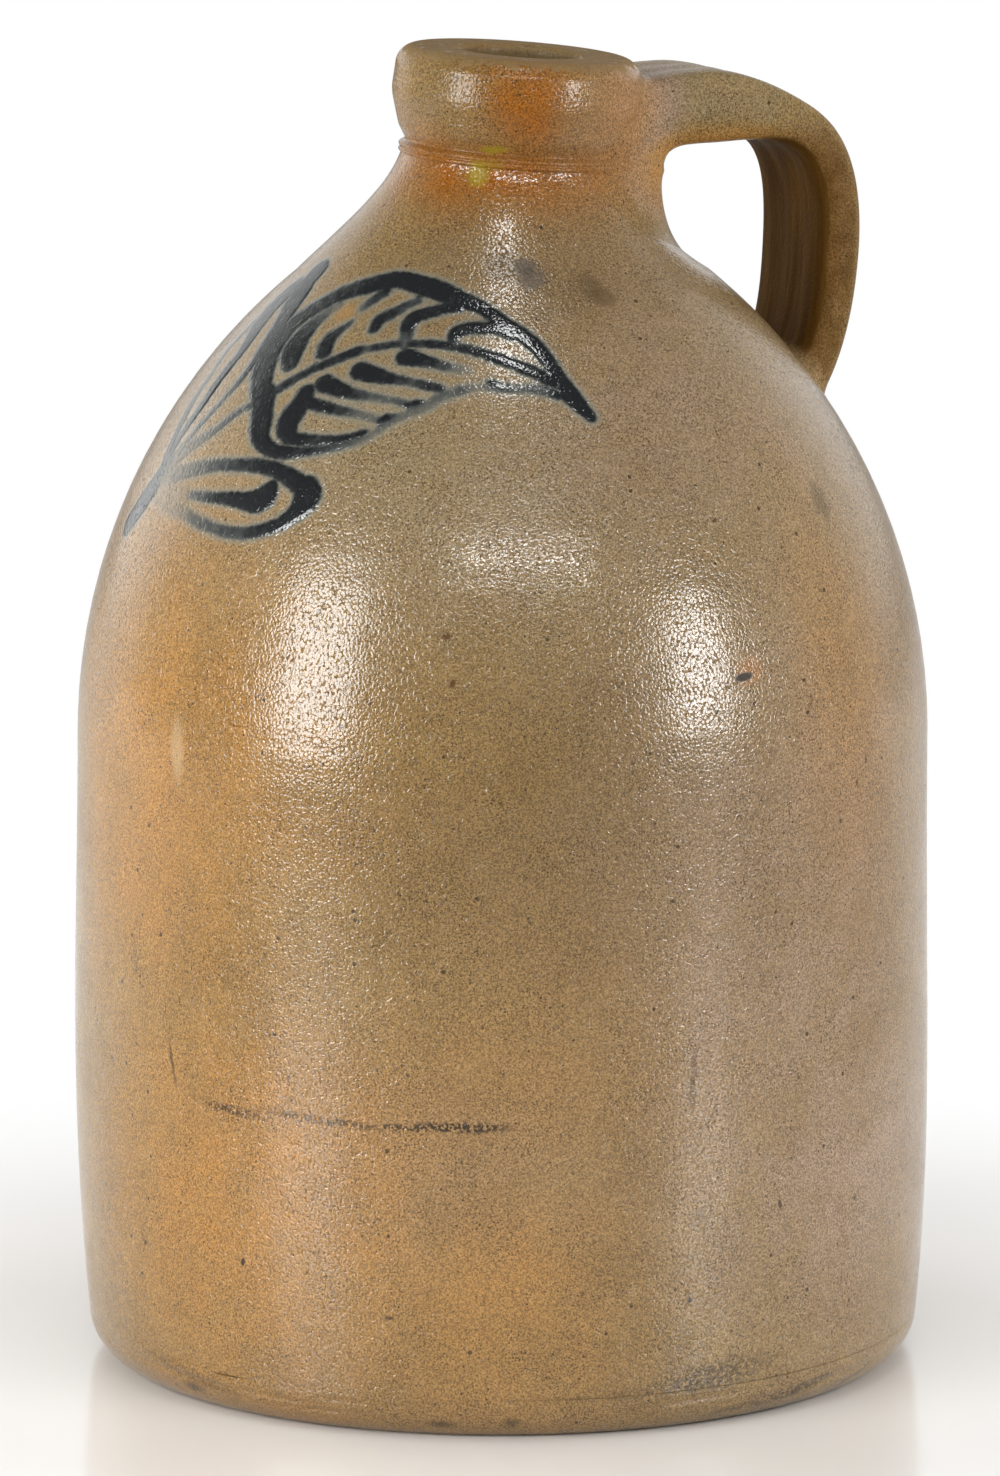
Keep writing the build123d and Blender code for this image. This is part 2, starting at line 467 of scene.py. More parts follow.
@dataclass(frozen=True)
class PhotoCamera:
    """Camera of the photograph, in millimetres, degrees and pixels of its frame."""

    photo_width: int = 1000
    photo_height: int = 1476
    azimuth: float = -32.0
    distance: float = 3200.0
    height: float = 798.0
    pitch: float = 11.21
    focal_pixels: float = 12322.0
    aside: float = -0.8
    sensor: float = 36.0
    sight: float = 60.0
    first_look: float = 0.94
    looks: int = 90
    caution: float = 0.7

    @property
    def front(self) -> float:
        """Angle round the jug's axis of the side that faces the camera, in radians."""
        return math.radians(self.azimuth - 90.0)

    @property
    def level(self) -> Array:
        """Level direction in which the camera looks."""
        turn = math.radians(-self.azimuth)
        return np.array([math.sin(turn), math.cos(turn), 0.0])

    @property
    def axes(self) -> tuple[Array, Array, Array]:
        """Directions to the right, ahead and up as the camera sees them.

        Returns:
            The three unit directions.
        """
        dip = math.radians(self.pitch)
        right = np.array([self.level[1], -self.level[0], 0.0])
        ahead = self.level * math.cos(dip) - np.array([0, 0, math.sin(dip)])
        return right, ahead, np.cross(right, ahead)

    @property
    def place(self) -> Array:
        """Where the camera stands."""
        stand = np.array([0, 0, self.height])
        return self.axes[0] * self.aside - self.level * self.distance + stand

    def build(self) -> None:
        """Adds the camera to the scene and looks through it."""
        lens = bpy.data.cameras.new("photo_camera")
        lens.sensor_width = self.sensor
        lens.lens = self.focal_pixels * self.sensor / self.photo_height
        lens.clip_end = self.sight
        camera = bpy.data.objects.new("photo_camera", lens)
        camera.location = Vector(self.place * MM)
        camera.rotation_euler = Euler((math.radians(90 - self.pitch), 0, math.radians(self.azimuth)))
        bpy.context.scene.collection.objects.link(camera)
        bpy.context.scene.camera = camera

    def seen(self, pixels: Array, gap: Callable[[Array], Array]) -> Array:
        """Finds what pixels of the photograph show on the jug.

        Args:
            pixels: Pixels, one row each.
            gap: Distance from places to the jug's outer face, in millimetres.

        Returns:
            The places on the outer face, in millimetres, or the nearest ones where a ray passes it by.
        """
        right, ahead, up = self.axes
        across = (pixels[:, :1] - self.photo_width / 2) / self.focal_pixels
        rise = (self.photo_height / 2 - pixels[:, 1:2]) / self.focal_pixels
        rays = unit(ahead + across * right + rise * up)
        reach = np.full(len(pixels), self.first_look * self.distance)
        best, nearest = reach.copy(), np.full(len(pixels), np.inf)
        for _ in range(self.looks):
            away = gap(self.place + rays * reach[:, None])
            closer = np.abs(away) < nearest
            best = np.where(closer, reach, best)
            nearest = np.where(closer, np.abs(away), nearest)
            reach = reach + np.maximum(away, 0.0) * self.caution
        return self.place + rays * best[:, None]


@dataclass
class JugSizes:
    """Sizes of the thrown clay, in millimetres and degrees, with its heights read off the frame."""

    floor_top: float
    shoulder_height: float
    dome_top: float
    foot_radius: float = 103.0
    heel_radius: float = 110.2
    heel_flare: float = 5.5
    belly_radius: float = 113.0
    belly_height: float = 100.0
    belly_slope: float = -0.011
    shoulder_radius: float = 112.3
    wall: float = 9.0
    dome_top_radius: float = 55.3
    lean: float = 5.0
    throat_height: float = 30.6
    neck_radius: float = 29.4
    neck_taper: float = 0.25
    bore_radius: float = 16.5
    bead_height: float = 3.6
    bead_ridge: float = 1.0
    bead_groove: float = 0.1
    bead_ridges: tuple[float, float] = (0.22, 0.66)
    bead_dip: float = 0.42
    ridge_round: float = 0.5
    dip_round: float = 0.25
    groove_round: float = 0.4
    groove_depth: float = 1.0
    collar_height: float = 24.95
    collar_foot_radius: float = 30.5
    collar_undercut: float = 3.6
    collar_swell_radius: float = 33.0
    collar_swell_height: float = 12.5
    collar_lip_radius: float = 32.1
    collar_foot_round: float = 4.0
    collar_swell_round: float = 12.0
    collar_lip_round: float = 5.5
    mouth_round: float = 1.9
    swell: float = 0.45
    swell_bearing: float = -90.0
    swell_height: float = 100.0
    swell_spread: float = 60.0
    waver: float = 0.18
    waver_twist: float = 0.011
    ring_depth: float = 0.03
    ring_pitch: float = 7.5

    @classmethod
    def from_frame(cls) -> JugSizes:
        """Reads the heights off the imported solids.

        Returns:
            The sizes.
        """
        wall_low, wall_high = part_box("body_wall")
        return cls(
            floor_top=wall_low.z / MM,
            shoulder_height=wall_high.z / MM,
            dome_top=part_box("shoulder_dome")[1].z / MM,
        )

    @property
    def dome_arc(self) -> float:
        """Radius of the arc that the shoulder follows."""
        rise, inset = self.dome_top - self.shoulder_height, self.shoulder_radius - self.dome_top_radius
        return (rise**2 + inset**2) / (2 * inset)

    @property
    def collar_base(self) -> float:
        """Height of the collar's foot before the neck leans over."""
        return self.dome_top + self.throat_height

    @property
    def lip_height(self) -> float:
        """Height of the lip's top before the neck leans over."""
        return self.collar_base + self.bead_height + self.collar_height

    def wall_radius(self, height: Array) -> Array:
        """Outer radius of the wall.

        Args:
            height: Heights between the floor and the shoulder.

        Returns:
            The radius at each height.
        """
        low, high = self.belly_height - self.floor_top, self.shoulder_height - self.belly_height
        flare = math.tan(math.radians(self.heel_flare))
        radii, slopes = (self.heel_radius, self.belly_radius), (flare, self.belly_slope)
        below = hermite((height - self.floor_top) / low, low, radii, slopes)
        radii, slopes = (self.belly_radius, self.shoulder_radius), (self.belly_slope, 0.0)
        above = hermite((height - self.belly_height) / high, high, radii, slopes)
        return np.where(height < self.belly_height, below, above)

    def dome_radius(self, height: Array, depth: float = 0.0) -> Array:
        """Radius of the shoulder at heights, a depth inside its outer face."""
        rise = np.asarray(height, float) - self.shoulder_height
        return self.shoulder_radius - self.dome_arc + np.sqrt((self.dome_arc - depth) ** 2 - rise**2)

    def throat_radius(self, share: Array, depth: float, end: float, end_slope: float) -> Array:
        """Radius of the throat, eased out of the shoulder's slope.

        Args:
            share: Shares of the throat's height.
            depth: Depth inside the outer face.
            end: Radius at the throat's top.
            end_slope: Change of radius with height there.

        Returns:
            The radius at each share.
        """
        rise = self.dome_top - self.shoulder_height
        slope = -rise / math.sqrt((self.dome_arc - depth) ** 2 - rise**2)
        start = float(self.dome_radius(self.dome_top, depth))
        return hermite(share, self.throat_height, (start, end), (slope, end_slope))

    def drift(self, angle: Array, height: Array, front: float) -> Array:
        """How far the wheel left the outer face out of round.

        Args:
            angle: Angles round the axis, in radians.
            height: Heights, in millimetres.
            front: Angle of the side that faces the camera, in radians.

        Returns:
            The distance outwards at each place, in millimetres.
        """
        side = front + math.radians(self.swell_bearing)
        bulge = np.exp(-(((height - self.swell_height) / self.swell_spread) ** 2))
        oval = np.cos(2 * angle + self.waver_twist * height)
        return self.swell * bulge * np.cos(angle - side) + self.waver * oval


@dataclass(frozen=True)
class BlushPatch:
    """A soft patch of kiln colour, in degrees from the side that faces the camera and millimetres."""

    bearing: float
    height: float
    half_width: float
    half_height: float
    strength: float


KILN_BLUSHES = {
    Blush.WARM: (
        BlushPatch(-52, 166, 24, 58, 0.88),
        BlushPatch(-36, 62, 24, 48, 0.95),
        BlushPatch(-2, 40, 16, 34, 0.55),
        BlushPatch(-60, 218, 22, 22, 0.45),
        BlushPatch(-8, 95, 26, 36, 0.35),
        BlushPatch(54, 196, 10, 46, 0.40),
        BlushPatch(66, 332, 26, 13, 0.50),
        BlushPatch(165, 150, 40, 60, 0.70),
        BlushPatch(-130, 60, 40, 50, 0.60),
    ),
    Blush.RUST: (
        BlushPatch(4, 336, 20, 12, 1.0),
        BlushPatch(-20, 317, 60, 8, 0.95),
        BlushPatch(45, 318, 40, 8, 0.70),
        BlushPatch(60, 333, 30, 14, 0.35),
        BlushPatch(170, 318, 70, 9, 0.8),
        BlushPatch(-130, 330, 40, 12, 0.7),
    ),
    Blush.ROSE: (
        BlushPatch(48, 130, 26, 80, 0.80),
        BlushPatch(56, 66, 24, 40, 1.00),
        BlushPatch(70, 333, 34, 16, 1.00),
        BlushPatch(40, 264, 36, 34, 0.55),
        BlushPatch(80, 210, 26, 60, 0.60),
        BlushPatch(-100, 230, 30, 50, 0.50),
        BlushPatch(-10, 72, 30, 22, 0.35),
    ),
    Blush.ASH: (
        BlushPatch(4, 250, 36, 32, 0.45),
        BlushPatch(-42, 252, 40, 32, 1.00),
        BlushPatch(-8, 108, 20, 36, 0.25),
        BlushPatch(56, 252, 30, 42, 0.75),
        BlushPatch(44, 204, 9, 40, 0.55),
        BlushPatch(-36, 334, 24, 11, 0.25),
        BlushPatch(120, 300, 40, 34, 0.80),
        BlushPatch(-165, 250, 50, 50, 0.70),
    ),
    Blush.UMBER: (
        BlushPatch(16, 296, 55, 16, 0.85),
        BlushPatch(14, 256, 30, 32, 0.70),
        BlushPatch(14, 164, 22, 64, 0.75),
        BlushPatch(62, 160, 8, 60, 0.35),
        BlushPatch(-150, 180, 30, 60, 0.40),
        # Darker band all round the very bottom of the foot.
        BlushPatch(-40, 1, 70, 11, 1.00),
        BlushPatch(70, 1, 90, 5, 0.80),
        BlushPatch(170, 1, 90, 7, 0.85),
    ),
}


def blush_level(kind: Blush, bearing: Array, height: Array) -> Array:
    """Strength of one of the kiln's colours.

    Args:
        kind: The colour.
        bearing: Degrees from the side that faces the camera.
        height: Heights, in millimetres.

    Returns:
        The strength at each place.
    """
    fade = 0.7
    level = np.zeros(len(bearing))
    for patch in KILN_BLUSHES[kind]:
        turn = (bearing - patch.bearing + 180.0) % 360.0 - 180.0
        far = (turn / patch.half_width) ** 2 + ((height - patch.height) / patch.half_height) ** 2
        level = np.maximum(level, patch.strength * np.exp(-fade * far))
    return level


def lay_blushes(mesh: bpy.types.Mesh, bearing: Array, height: Array) -> None:
    """Writes the kiln's colours onto a mesh.

    Args:
        mesh: Mesh to colour.
        bearing: Degrees of each vertex from the side that faces the camera.
        height: Height of each vertex, in millimetres, before the neck leans over.
    """
    for kind in Blush:
        lay_trace(mesh, kind, blush_level(kind, bearing, height))


@dataclass(frozen=True)
class Scar:
    """A line dented into the heel, in degrees from the side that faces the camera and millimetres."""

    start: float
    end: float
    start_height: float
    end_height: float
    width: float
    depth: float

    def dent(self, bearing: Array, height: Array) -> Array:
        """Depth of the line, which tapers at its two ends.

        Args:
            bearing: Degrees from the side that faces the camera.
            height: Heights, in millimetres.

        Returns:
            The depth at each place, in millimetres.
        """
        share = (bearing - self.start) / (self.end - self.start)
        middle = self.start_height + (self.end_height - self.start_height) * share
        inside = np.clip(4 * share * (1 - share), 0, 1) ** 0.5
        return self.depth * inside * np.exp(-(((height - middle) / self.width) ** 2))


HEEL_SCARS = (
    Scar(-66, -36, 15.4, 10.4, 0.65, 0.75),
    Scar(-52, -42, 14.0, 12.6, 0.45, 0.40),
    Scar(-72, -24, 9.4, 7.0, 0.60, 0.55),
    Scar(-34, -17, 5.2, 5.8, 0.5, 0.50),
    Scar(-27, -6, 9.0, 8.3, 0.8, 0.32),
    Scar(-4, 26, 6.4, 7.4, 0.6, 0.30),
    Scar(20, 46, 8.0, 8.8, 0.9, 0.45),
    Scar(34, 70, 5.6, 7.0, 0.6, 0.45),
    Scar(80, 130, 9.6, 9.0, 0.7, 0.35),
    Scar(-150, -120, 9.0, 10.0, 0.7, 0.35),
)


@dataclass
class Run:
    """One stretch of a clay section, and what lies on it."""

    line: Array
    skin: float = 0.0
    slip: Array | float = 0.0
    bare: Array | float = 0.0
    comb: Array | float = 0.0


RUN_TRACES = (Trace.SKIN, Trace.SLIP, Trace.BARE, Trace.COMB)


class ThrownVessel:
    """The pieces thrown on the wheel: floor, wall, shoulder, throat and collar."""

    fine_step = 0.72
    plain_step = 3.3
    leaf_bearings = (-88.0, 28.0)
    skin_step = 1.6
    shoulder_step = 0.74
    heel_step = 0.55
    collar_step = 0.55
    inner_step = 9.0
    least_rings = 4
    throat_spare_rings = 8
    hub_radius = 20.0
    under_rings = 8
    over_rings = 6
    slip_reach = 1.6
    slip_fades = (0.5, -4.0)
    bare_rises = (-3.4, -0.4)
    comb_rises = (3, 7)
    comb_fades = (-5, -10)
    slope_step = 2.0
    unlean_rounds = 5
    seed = 7.0

    def __init__(self, sizes: JugSizes, camera: PhotoCamera, glaze: bpy.types.Material) -> None:
        """Lays out the columns of points that every piece shares, so that they meet without a gap.

        Args:
            sizes: Sizes of the thrown clay.
            camera: Camera that bearings are measured from.
            glaze: Finish of the thrown pieces.
        """
        self.sizes = sizes
        self.camera = camera
        self.glaze = glaze
        start, end = self.leaf_bearings
        radius = sizes.belly_radius
        fine = math.ceil(math.radians(end - start) * radius / self.fine_step)
        plain = math.ceil(math.radians(360 - end + start) * radius / self.plain_step)
        left, right = np.linspace(start, end, fine + 1), np.linspace(end, start + 360, plain + 1)
        self.bearings = np.concatenate([left[:-1], right[:-1]])
        self.tree = self._wheel()
        self.profile = self._outer_profile()

    def _outer_profile(self) -> Array:
        """Follows the outer face from the wall's foot up to the top of the lip.

        Returns:
            Its radii and heights.
        """
        collar = self._collar_skin().line
        lip = collar[: int(np.argmax(collar[:, 1])) + 1]
        skins = (self._wall_skin(), self._shoulder_skin(), self._throat_skin())
        return np.vstack([*(skin.line for skin in skins), lip])

    def _wall_skin(self) -> Run:
        """Outer face of the wall, from the floor up.

        Returns:
            The run of the wheel.
        """
        s = self.sizes
        height = np.linspace(s.floor_top, s.shoulder_height, math.ceil(s.shoulder_height / self.skin_step))
        return Run(np.column_stack([s.wall_radius(height), height]), skin=1.0)

    def _shoulder_skin(self) -> Run:
        """Outer face of the shoulder, from the wall up.

        Returns:
            The run of the wheel.
        """
        s = self.sizes
        sweep = math.asin((s.dome_top - s.shoulder_height) / s.dome_arc)
        turn = np.linspace(0, sweep, math.ceil(sweep * s.dome_arc / self.shoulder_step))
        radius = s.shoulder_radius - s.dome_arc * (1 - np.cos(turn))
        return Run(np.column_stack([radius, s.shoulder_height + s.dome_arc * np.sin(turn)]), skin=1.0)

    def _throat_skin(self) -> Run:
        """Outer face of the throat, from the shoulder up.

        Returns:
            The run of the wheel.
        """
        s = self.sizes
        rings = math.ceil(s.throat_height / self.shoulder_step) + self.throat_spare_rings
        share = np.linspace(0, 1, rings)
        radius = s.throat_radius(share, 0.0, s.neck_radius, -s.neck_taper)
        return Run(np.column_stack([radius, s.dome_top + s.throat_height * share]), skin=1.0)

    def _collar_skin(self) -> Run:
        """Bead, groove, lip and bore of the collar, from its foot up and down again inside.

        Returns:
            The run of the wheel.
        """
        s = self.sizes
        ridge, dip = s.neck_radius + s.bead_ridge, s.neck_radius + s.bead_groove
        low, top = s.collar_base, s.lip_height
        foot, bead = low + s.bead_height, s.bead_height
        line = rounded(
            [
                (s.neck_radius, low, 0),
                (ridge, low + s.bead_ridges[0] * bead, s.ridge_round),
                (dip, low + s.bead_dip * bead, s.dip_round),
                (ridge, low + s.bead_ridges[1] * bead, s.ridge_round),
                (s.neck_radius - s.groove_depth, low + bead, s.groove_round),
                (s.collar_foot_radius, foot + s.collar_undercut, s.collar_foot_round),
                (s.collar_swell_radius, foot + s.collar_swell_height, s.collar_swell_round),
                (s.collar_lip_radius, top, s.collar_lip_round),
                (s.bore_radius, top, s.mouth_round),
                (s.bore_radius, low, 0),
            ],
            self.collar_step,
        )
        radius, height = line.T
        inside = radius < s.bore_radius + self.slip_reach
        slip = np.where(inside, ease(height - top, *self.slip_fades), 0.0)
        bare = ease(height - top, *self.bare_rises) * (1 - slip)
        comb = (1 - inside) * ease(height - foot, *self.comb_rises) * ease(height - top, *self.comb_fades)
        return Run(line, skin=1.0, slip=slip, bare=bare, comb=comb)

    def section(self, places: Array) -> tuple[Array, Array, Array]:
        """Takes the neck's lean out of places.

        Args:
            places: Places, in millimetres.

        Returns:
            Their angles in radians, and their radii and heights before the neck leans over.
        """
        s = self.sizes
        lean = math.radians(s.lean)
        x, y, z = places.T
        height = z.copy()
        for _ in range(self.unlean_rounds):
            up = np.maximum(height - s.dome_top, 0.0)
            share = np.clip(up / s.throat_height, 0.0, 1.0)
            tilt = lean * share * (2 - share)
            off_x = x - up * math.sin(lean)
            off_z = z - np.minimum(height, s.dome_top) - up * math.cos(lean)
            height = height + off_x * np.sin(tilt) + off_z * np.cos(tilt)
        level = off_x * np.cos(tilt) - off_z * np.sin(tilt)
        return np.arctan2(y, level), np.hypot(level, y), height

    def gap(self, places: Array) -> Array:
        """Distance from places to the outer face.

        Args:
            places: Places, in millimetres.

        Returns:
            The distances in millimetres, negative inside the clay.
        """
        s = self.sizes
        angle, radius, height = self.section(places)
        outer, above = (
            np.interp(height + step, self.profile[:, 1], self.profile[:, 0])
            for step in (0.0, self.slope_step)
        )
        slope = (above - outer) / self.slope_step
        outer = outer + s.drift(angle, height, self.camera.front)
        return np.maximum((radius - outer) / np.hypot(1.0, slope), height - s.lip_height)

    def _wheel(self) -> bpy.types.NodeTree:
        """Node tree that turns an unrolled sheet of clay round the wheel's axis and leans its neck over.

        Returns:
            The tree, whose named inputs are its sizes in metres and radians.
        """
        tree = bpy.data.node_groups.new("Thrown On The Wheel", "GeometryNodeTree")
        tree.interface.new_socket("Geometry", in_out="INPUT", socket_type="NodeSocketGeometry")
        for name in self._wheel_inputs():
            tree.interface.new_socket(name, in_out="INPUT", socket_type="NodeSocketFloat")
        tree.interface.new_socket("Glaze", in_out="INPUT", socket_type="NodeSocketMaterial")
        tree.interface.new_socket("Geometry", in_out="OUTPUT", socket_type="NodeSocketGeometry")
        w = Wiring(tree)
        given = w.node("NodeGroupInput").outputs
        angle, radius, height = w.parts(w.node("GeometryNodeInputPosition").outputs[0])
        skin, dent = (
            w.node("GeometryNodeInputNamedAttribute", {"Name": trace.value}, data_type="FLOAT").outputs[0]
            for trace in (Trace.SKIN, Trace.DENT)
        )

        # Out of round: a bulge to one side, a slow oval and the spiral of the potter's fingers
        off = w.math("DIVIDE", w.less(height, given["Swell Height"]), given["Swell Spread"])
        bulge = w.math("EXPONENT", w.product(off, off, -1.0))
        side = w.math("COSINE", w.less(angle, given["Swell Angle"]))
        swell = w.product(given["Swell"], bulge, side)
        oval = w.math("COSINE", w.total(w.product(angle, 2.0), w.product(height, given["Waver Twist"])))
        waver = w.product(given["Waver"], oval)
        turns = w.math("DIVIDE", height, given["Ring Pitch"])
        spiral = w.math("SINE", w.total(w.product(turns, math.tau), angle))
        feeds = {"Vector": w.combine(0.0, 0.0, turns), "W": given["Seed"]}
        uneven = w.node("ShaderNodeTexNoise", feeds, noise_dimensions="4D").outputs[0]
        rings = w.product(given["Ring Depth"], spiral, uneven)
        reach = w.less(w.total(radius, w.product(skin, w.total(swell, waver, rings))), dent)

        # Lean: the neck's middle runs straight along its axis while its sections tip over
        above = w.less(height, given["Lean Start"])
        up = w.math("MAXIMUM", above, 0.0)
        share = w.math("DIVIDE", above, given["Lean Rise"], clamp=True)
        tilt = w.product(given["Lean"], w.product(share, w.less(2.0, share)))
        level = w.product(reach, w.math("COSINE", angle))
        aside = w.product(up, w.math("SINE", given["Lean"]))
        x = w.total(aside, w.product(level, w.math("COSINE", tilt)))
        y = w.product(reach, w.math("SINE", angle))
        raised = w.product(up, w.math("COSINE", given["Lean"]))
        base = w.total(w.math("MINIMUM", height, given["Lean Start"]), raised)
        z = w.less(base, w.product(level, w.math("SINE", tilt)))
        place = w.combine(x, y, z)
        thrown = w.node("GeometryNodeSetPosition", {"Geometry": given["Geometry"], "Position": place})
        real = w.node("GeometryNodeRealizeInstances", [thrown.outputs[0]])
        glazed = w.node("GeometryNodeSetMaterial", {"Geometry": real.outputs[0], "Material": given["Glaze"]})
        w.node("NodeGroupOutput", [glazed.outputs[0]])
        return tree

    def _wheel_inputs(self) -> dict[str, float]:
        """Names the sizes of the wheel's node tree.

        Returns:
            The sizes, in metres and radians.
        """
        s = self.sizes
        return {
            "Swell": s.swell * MM,
            "Swell Angle": self.camera.front + math.radians(s.swell_bearing),
            "Swell Height": s.swell_height * MM,
            "Swell Spread": s.swell_spread * MM,
            "Waver": s.waver * MM,
            "Waver Twist": s.waver_twist / MM,
            "Ring Depth": s.ring_depth * MM,
            "Ring Pitch": s.ring_pitch * MM,
            "Seed": self.seed,
            "Lean": math.radians(s.lean),
            "Lean Start": s.dome_top * MM,
            "Lean Rise": s.throat_height * MM,
        }

    def _sheet(self, name: str, runs: Sequence[Run], solid: bool) -> bpy.types.Mesh:
        """Lays a section out as an unrolled sheet of angles, radii and heights.

        Args:
            name: Name of the mesh.
            runs: Stretches of the section, anticlockwise from the outer foot.
            solid: Whether the section starts and ends on the axis instead of closing on itself.

        Returns:
            The sheet, which carries the marks of the wheel and the kiln's colours.
        """
        line = np.vstack([run.line for run in runs])
        rows, columns = len(line), len(self.bearings)
        row, column = np.repeat(np.arange(rows), columns), np.tile(np.arange(columns), rows)
        bearing = self.bearings[column]
        places = np.column_stack([self.camera.front + np.radians(bearing), line[row] * MM])
        low = np.arange(rows - 1 if solid else rows)[:, None] * columns
        high = (low + columns) % (rows * columns)
        near, far = np.arange(columns), (np.arange(columns) + 1) % columns
        quads = np.stack([low + near, low + far, high + far, high + near], axis=-1).reshape(-1, 4)
        faces = quads.tolist()
        if solid:
            tips = [rows * columns, rows * columns + 1]
            places = np.vstack([places, [[0, 0, line[0, 1] * MM], [0, 0, line[-1, 1] * MM]]])
            faces += [[tips[0], int(b), int(a)] for a, b in zip(near, far)]
            last = (rows - 1) * columns
            faces += [[tips[1], int(last + a), int(last + b)] for a, b in zip(near, far)]
            row, bearing = np.append(row, [0, rows - 1]), np.append(bearing, [0, 0])
        mesh = bpy.data.meshes.new(name)
        mesh.from_pydata(places.tolist(), [], faces)
        for trace in RUN_TRACES:
            laid = [np.broadcast_to(getattr(run, trace.name.lower()), len(run.line)) for run in runs]
            lay_trace(mesh, trace, np.concatenate(laid)[row])
        height = line[row, 1]
        skin = np.concatenate([np.full(len(run.line), run.skin) for run in runs])[row]
        dents = sum(scar.dent(bearing, height) for scar in HEEL_SCARS)
        lay_trace(mesh, Trace.DENT, skin * dents * MM)
        lay_blushes(mesh, bearing, height)
        shade_smooth(mesh)
        self._crease(mesh, row, [len(run.line) for run in runs])
        return mesh

    def _crease(self, mesh: bpy.types.Mesh, row: Array, lengths: Sequence[int]) -> None:
        """Keeps the edges sharp where one stretch of a section meets the next.

        Args:
            mesh: Unrolled sheet of the section.
            row: Row of the sheet that each vertex is in.
            lengths: Number of rows of each stretch.
        """
        ends = np.cumsum(lengths)
        crease = np.zeros(ends[-1], bool)
        crease[np.concatenate([ends - 1, ends - lengths])] = True
        pairs = np.empty(len(mesh.edges) * 2, np.int32)
        mesh.edges.foreach_get("vertices", pairs)
        first, second = row[pairs[::2]], row[pairs[1::2]]
        mesh.edges.foreach_set("use_edge_sharp", (first == second) & crease[first])

    def _throw(self, name: str, node: str, runs: Sequence[Run], solid: bool = False) -> bpy.types.Object:
        """Builds one thrown piece from its section.

        Args:
            name: Name of the piece.
            node: Solid of the frame that it stands for.
            runs: Stretches of its section, anticlockwise from the outer foot.
            solid: Whether the section starts and ends on the axis instead of closing on itself.

        Returns:
            The finished piece.
        """
        piece = new_piece(name, self._sheet(name, runs, solid))
        wheel = piece.modifiers.new("wheel", "NODES")
        wheel.node_group = self.tree
        values = self._wheel_inputs() | {"Glaze": self.glaze}
        for item in self.tree.interface.items_tree:
            if item.in_out == "INPUT" and item.name in values:
                wheel[item.identifier] = values[item.name]
        keep_result(piece)
        hand_over(piece, GLAZE_SLOT, node)
        return piece

    def _inside(self, low: float, high: float, radius: Callable[[Array], Array]) -> Run:
        """Inner face between two heights, from the top down.

        Args:
            low: Lower height.
            high: Upper height.
            radius: Gives the radii at heights.

        Returns:
            The run of the wheel.
        """
        rings = max(math.ceil((high - low) / self.inner_step), self.least_rings)
        height = np.linspace(high, low, rings)
        return Run(np.column_stack([radius(height), height]), slip=1.0)

    def build_floor(self) -> bpy.types.Object:
        """Floor slab with its worn, rounded heel.

        Returns:
            The finished piece.
        """
        s = self.sizes
        rise, inset = s.floor_top, s.heel_radius - s.foot_radius
        heel = (rise**2 + inset**2) / (2 * inset)
        sweep = math.asin(rise / heel)
        turn = np.linspace(sweep, 0, math.ceil(sweep * heel / self.heel_step))
        radius = s.heel_radius - heel * (1 - np.cos(turn))
        under = np.linspace(self.hub_radius, s.foot_radius, self.under_rings)
        over = np.linspace(s.heel_radius, self.hub_radius, self.over_rings)
        runs = [
            Run(np.column_stack([under, np.zeros_like(under)]), bare=1.0),
            Run(np.column_stack([radius, rise - heel * np.sin(turn)]), skin=1.0),
            Run(np.column_stack([over, np.full_like(over, rise)]), slip=1.0),
        ]
        return self._throw("floor_with_heel", "base_floor", runs, solid=True)

    def build_wall(self) -> bpy.types.Object:
        """Barrelled wall standing on the floor's rim.

        Returns:
            The finished piece.
        """
        s = self.sizes
        inner = self._inside(s.floor_top, s.shoulder_height, lambda z: s.wall_radius(z) - s.wall)
        return self._throw("barrelled_wall", "body_wall", [self._wall_skin(), inner])

    def build_shoulder(self) -> bpy.types.Object:
        """Domed shoulder that carries the leaf.

        Returns:
            The finished piece.
        """
        s = self.sizes
        inner = self._inside(s.shoulder_height, s.dome_top, lambda z: s.dome_radius(z, s.wall))
        return self._throw("domed_shoulder", "shoulder_dome", [self._shoulder_skin(), inner])

    def build_throat(self) -> bpy.types.Object:
        """Throat drawn in from the shoulder.

        Returns:
            The finished piece.
        """
        s = self.sizes

        def bore(height: Array) -> Array:
            """Inner radius at heights, eased from the shoulder into the bore."""
            share = (height - s.dome_top) / s.throat_height
            return s.throat_radius(share, s.wall, s.bore_radius, 0.0)

        inner = self._inside(s.dome_top, s.collar_base, bore)
        return self._throw("drawn_throat", "neck_throat", [self._throat_skin(), inner])

    def build_collar(self, coat: bpy.types.Material) -> bpy.types.Object:
        """Collar with its bead, groove and heavy lip round the mouth.

        Args:
            coat: Its drier coat.

        Returns:
            The finished piece.
        """
        collar = self._throw("rolled_collar", "collar_lip", [self._collar_skin()])
        collar.data.materials[0] = coat
        return collar


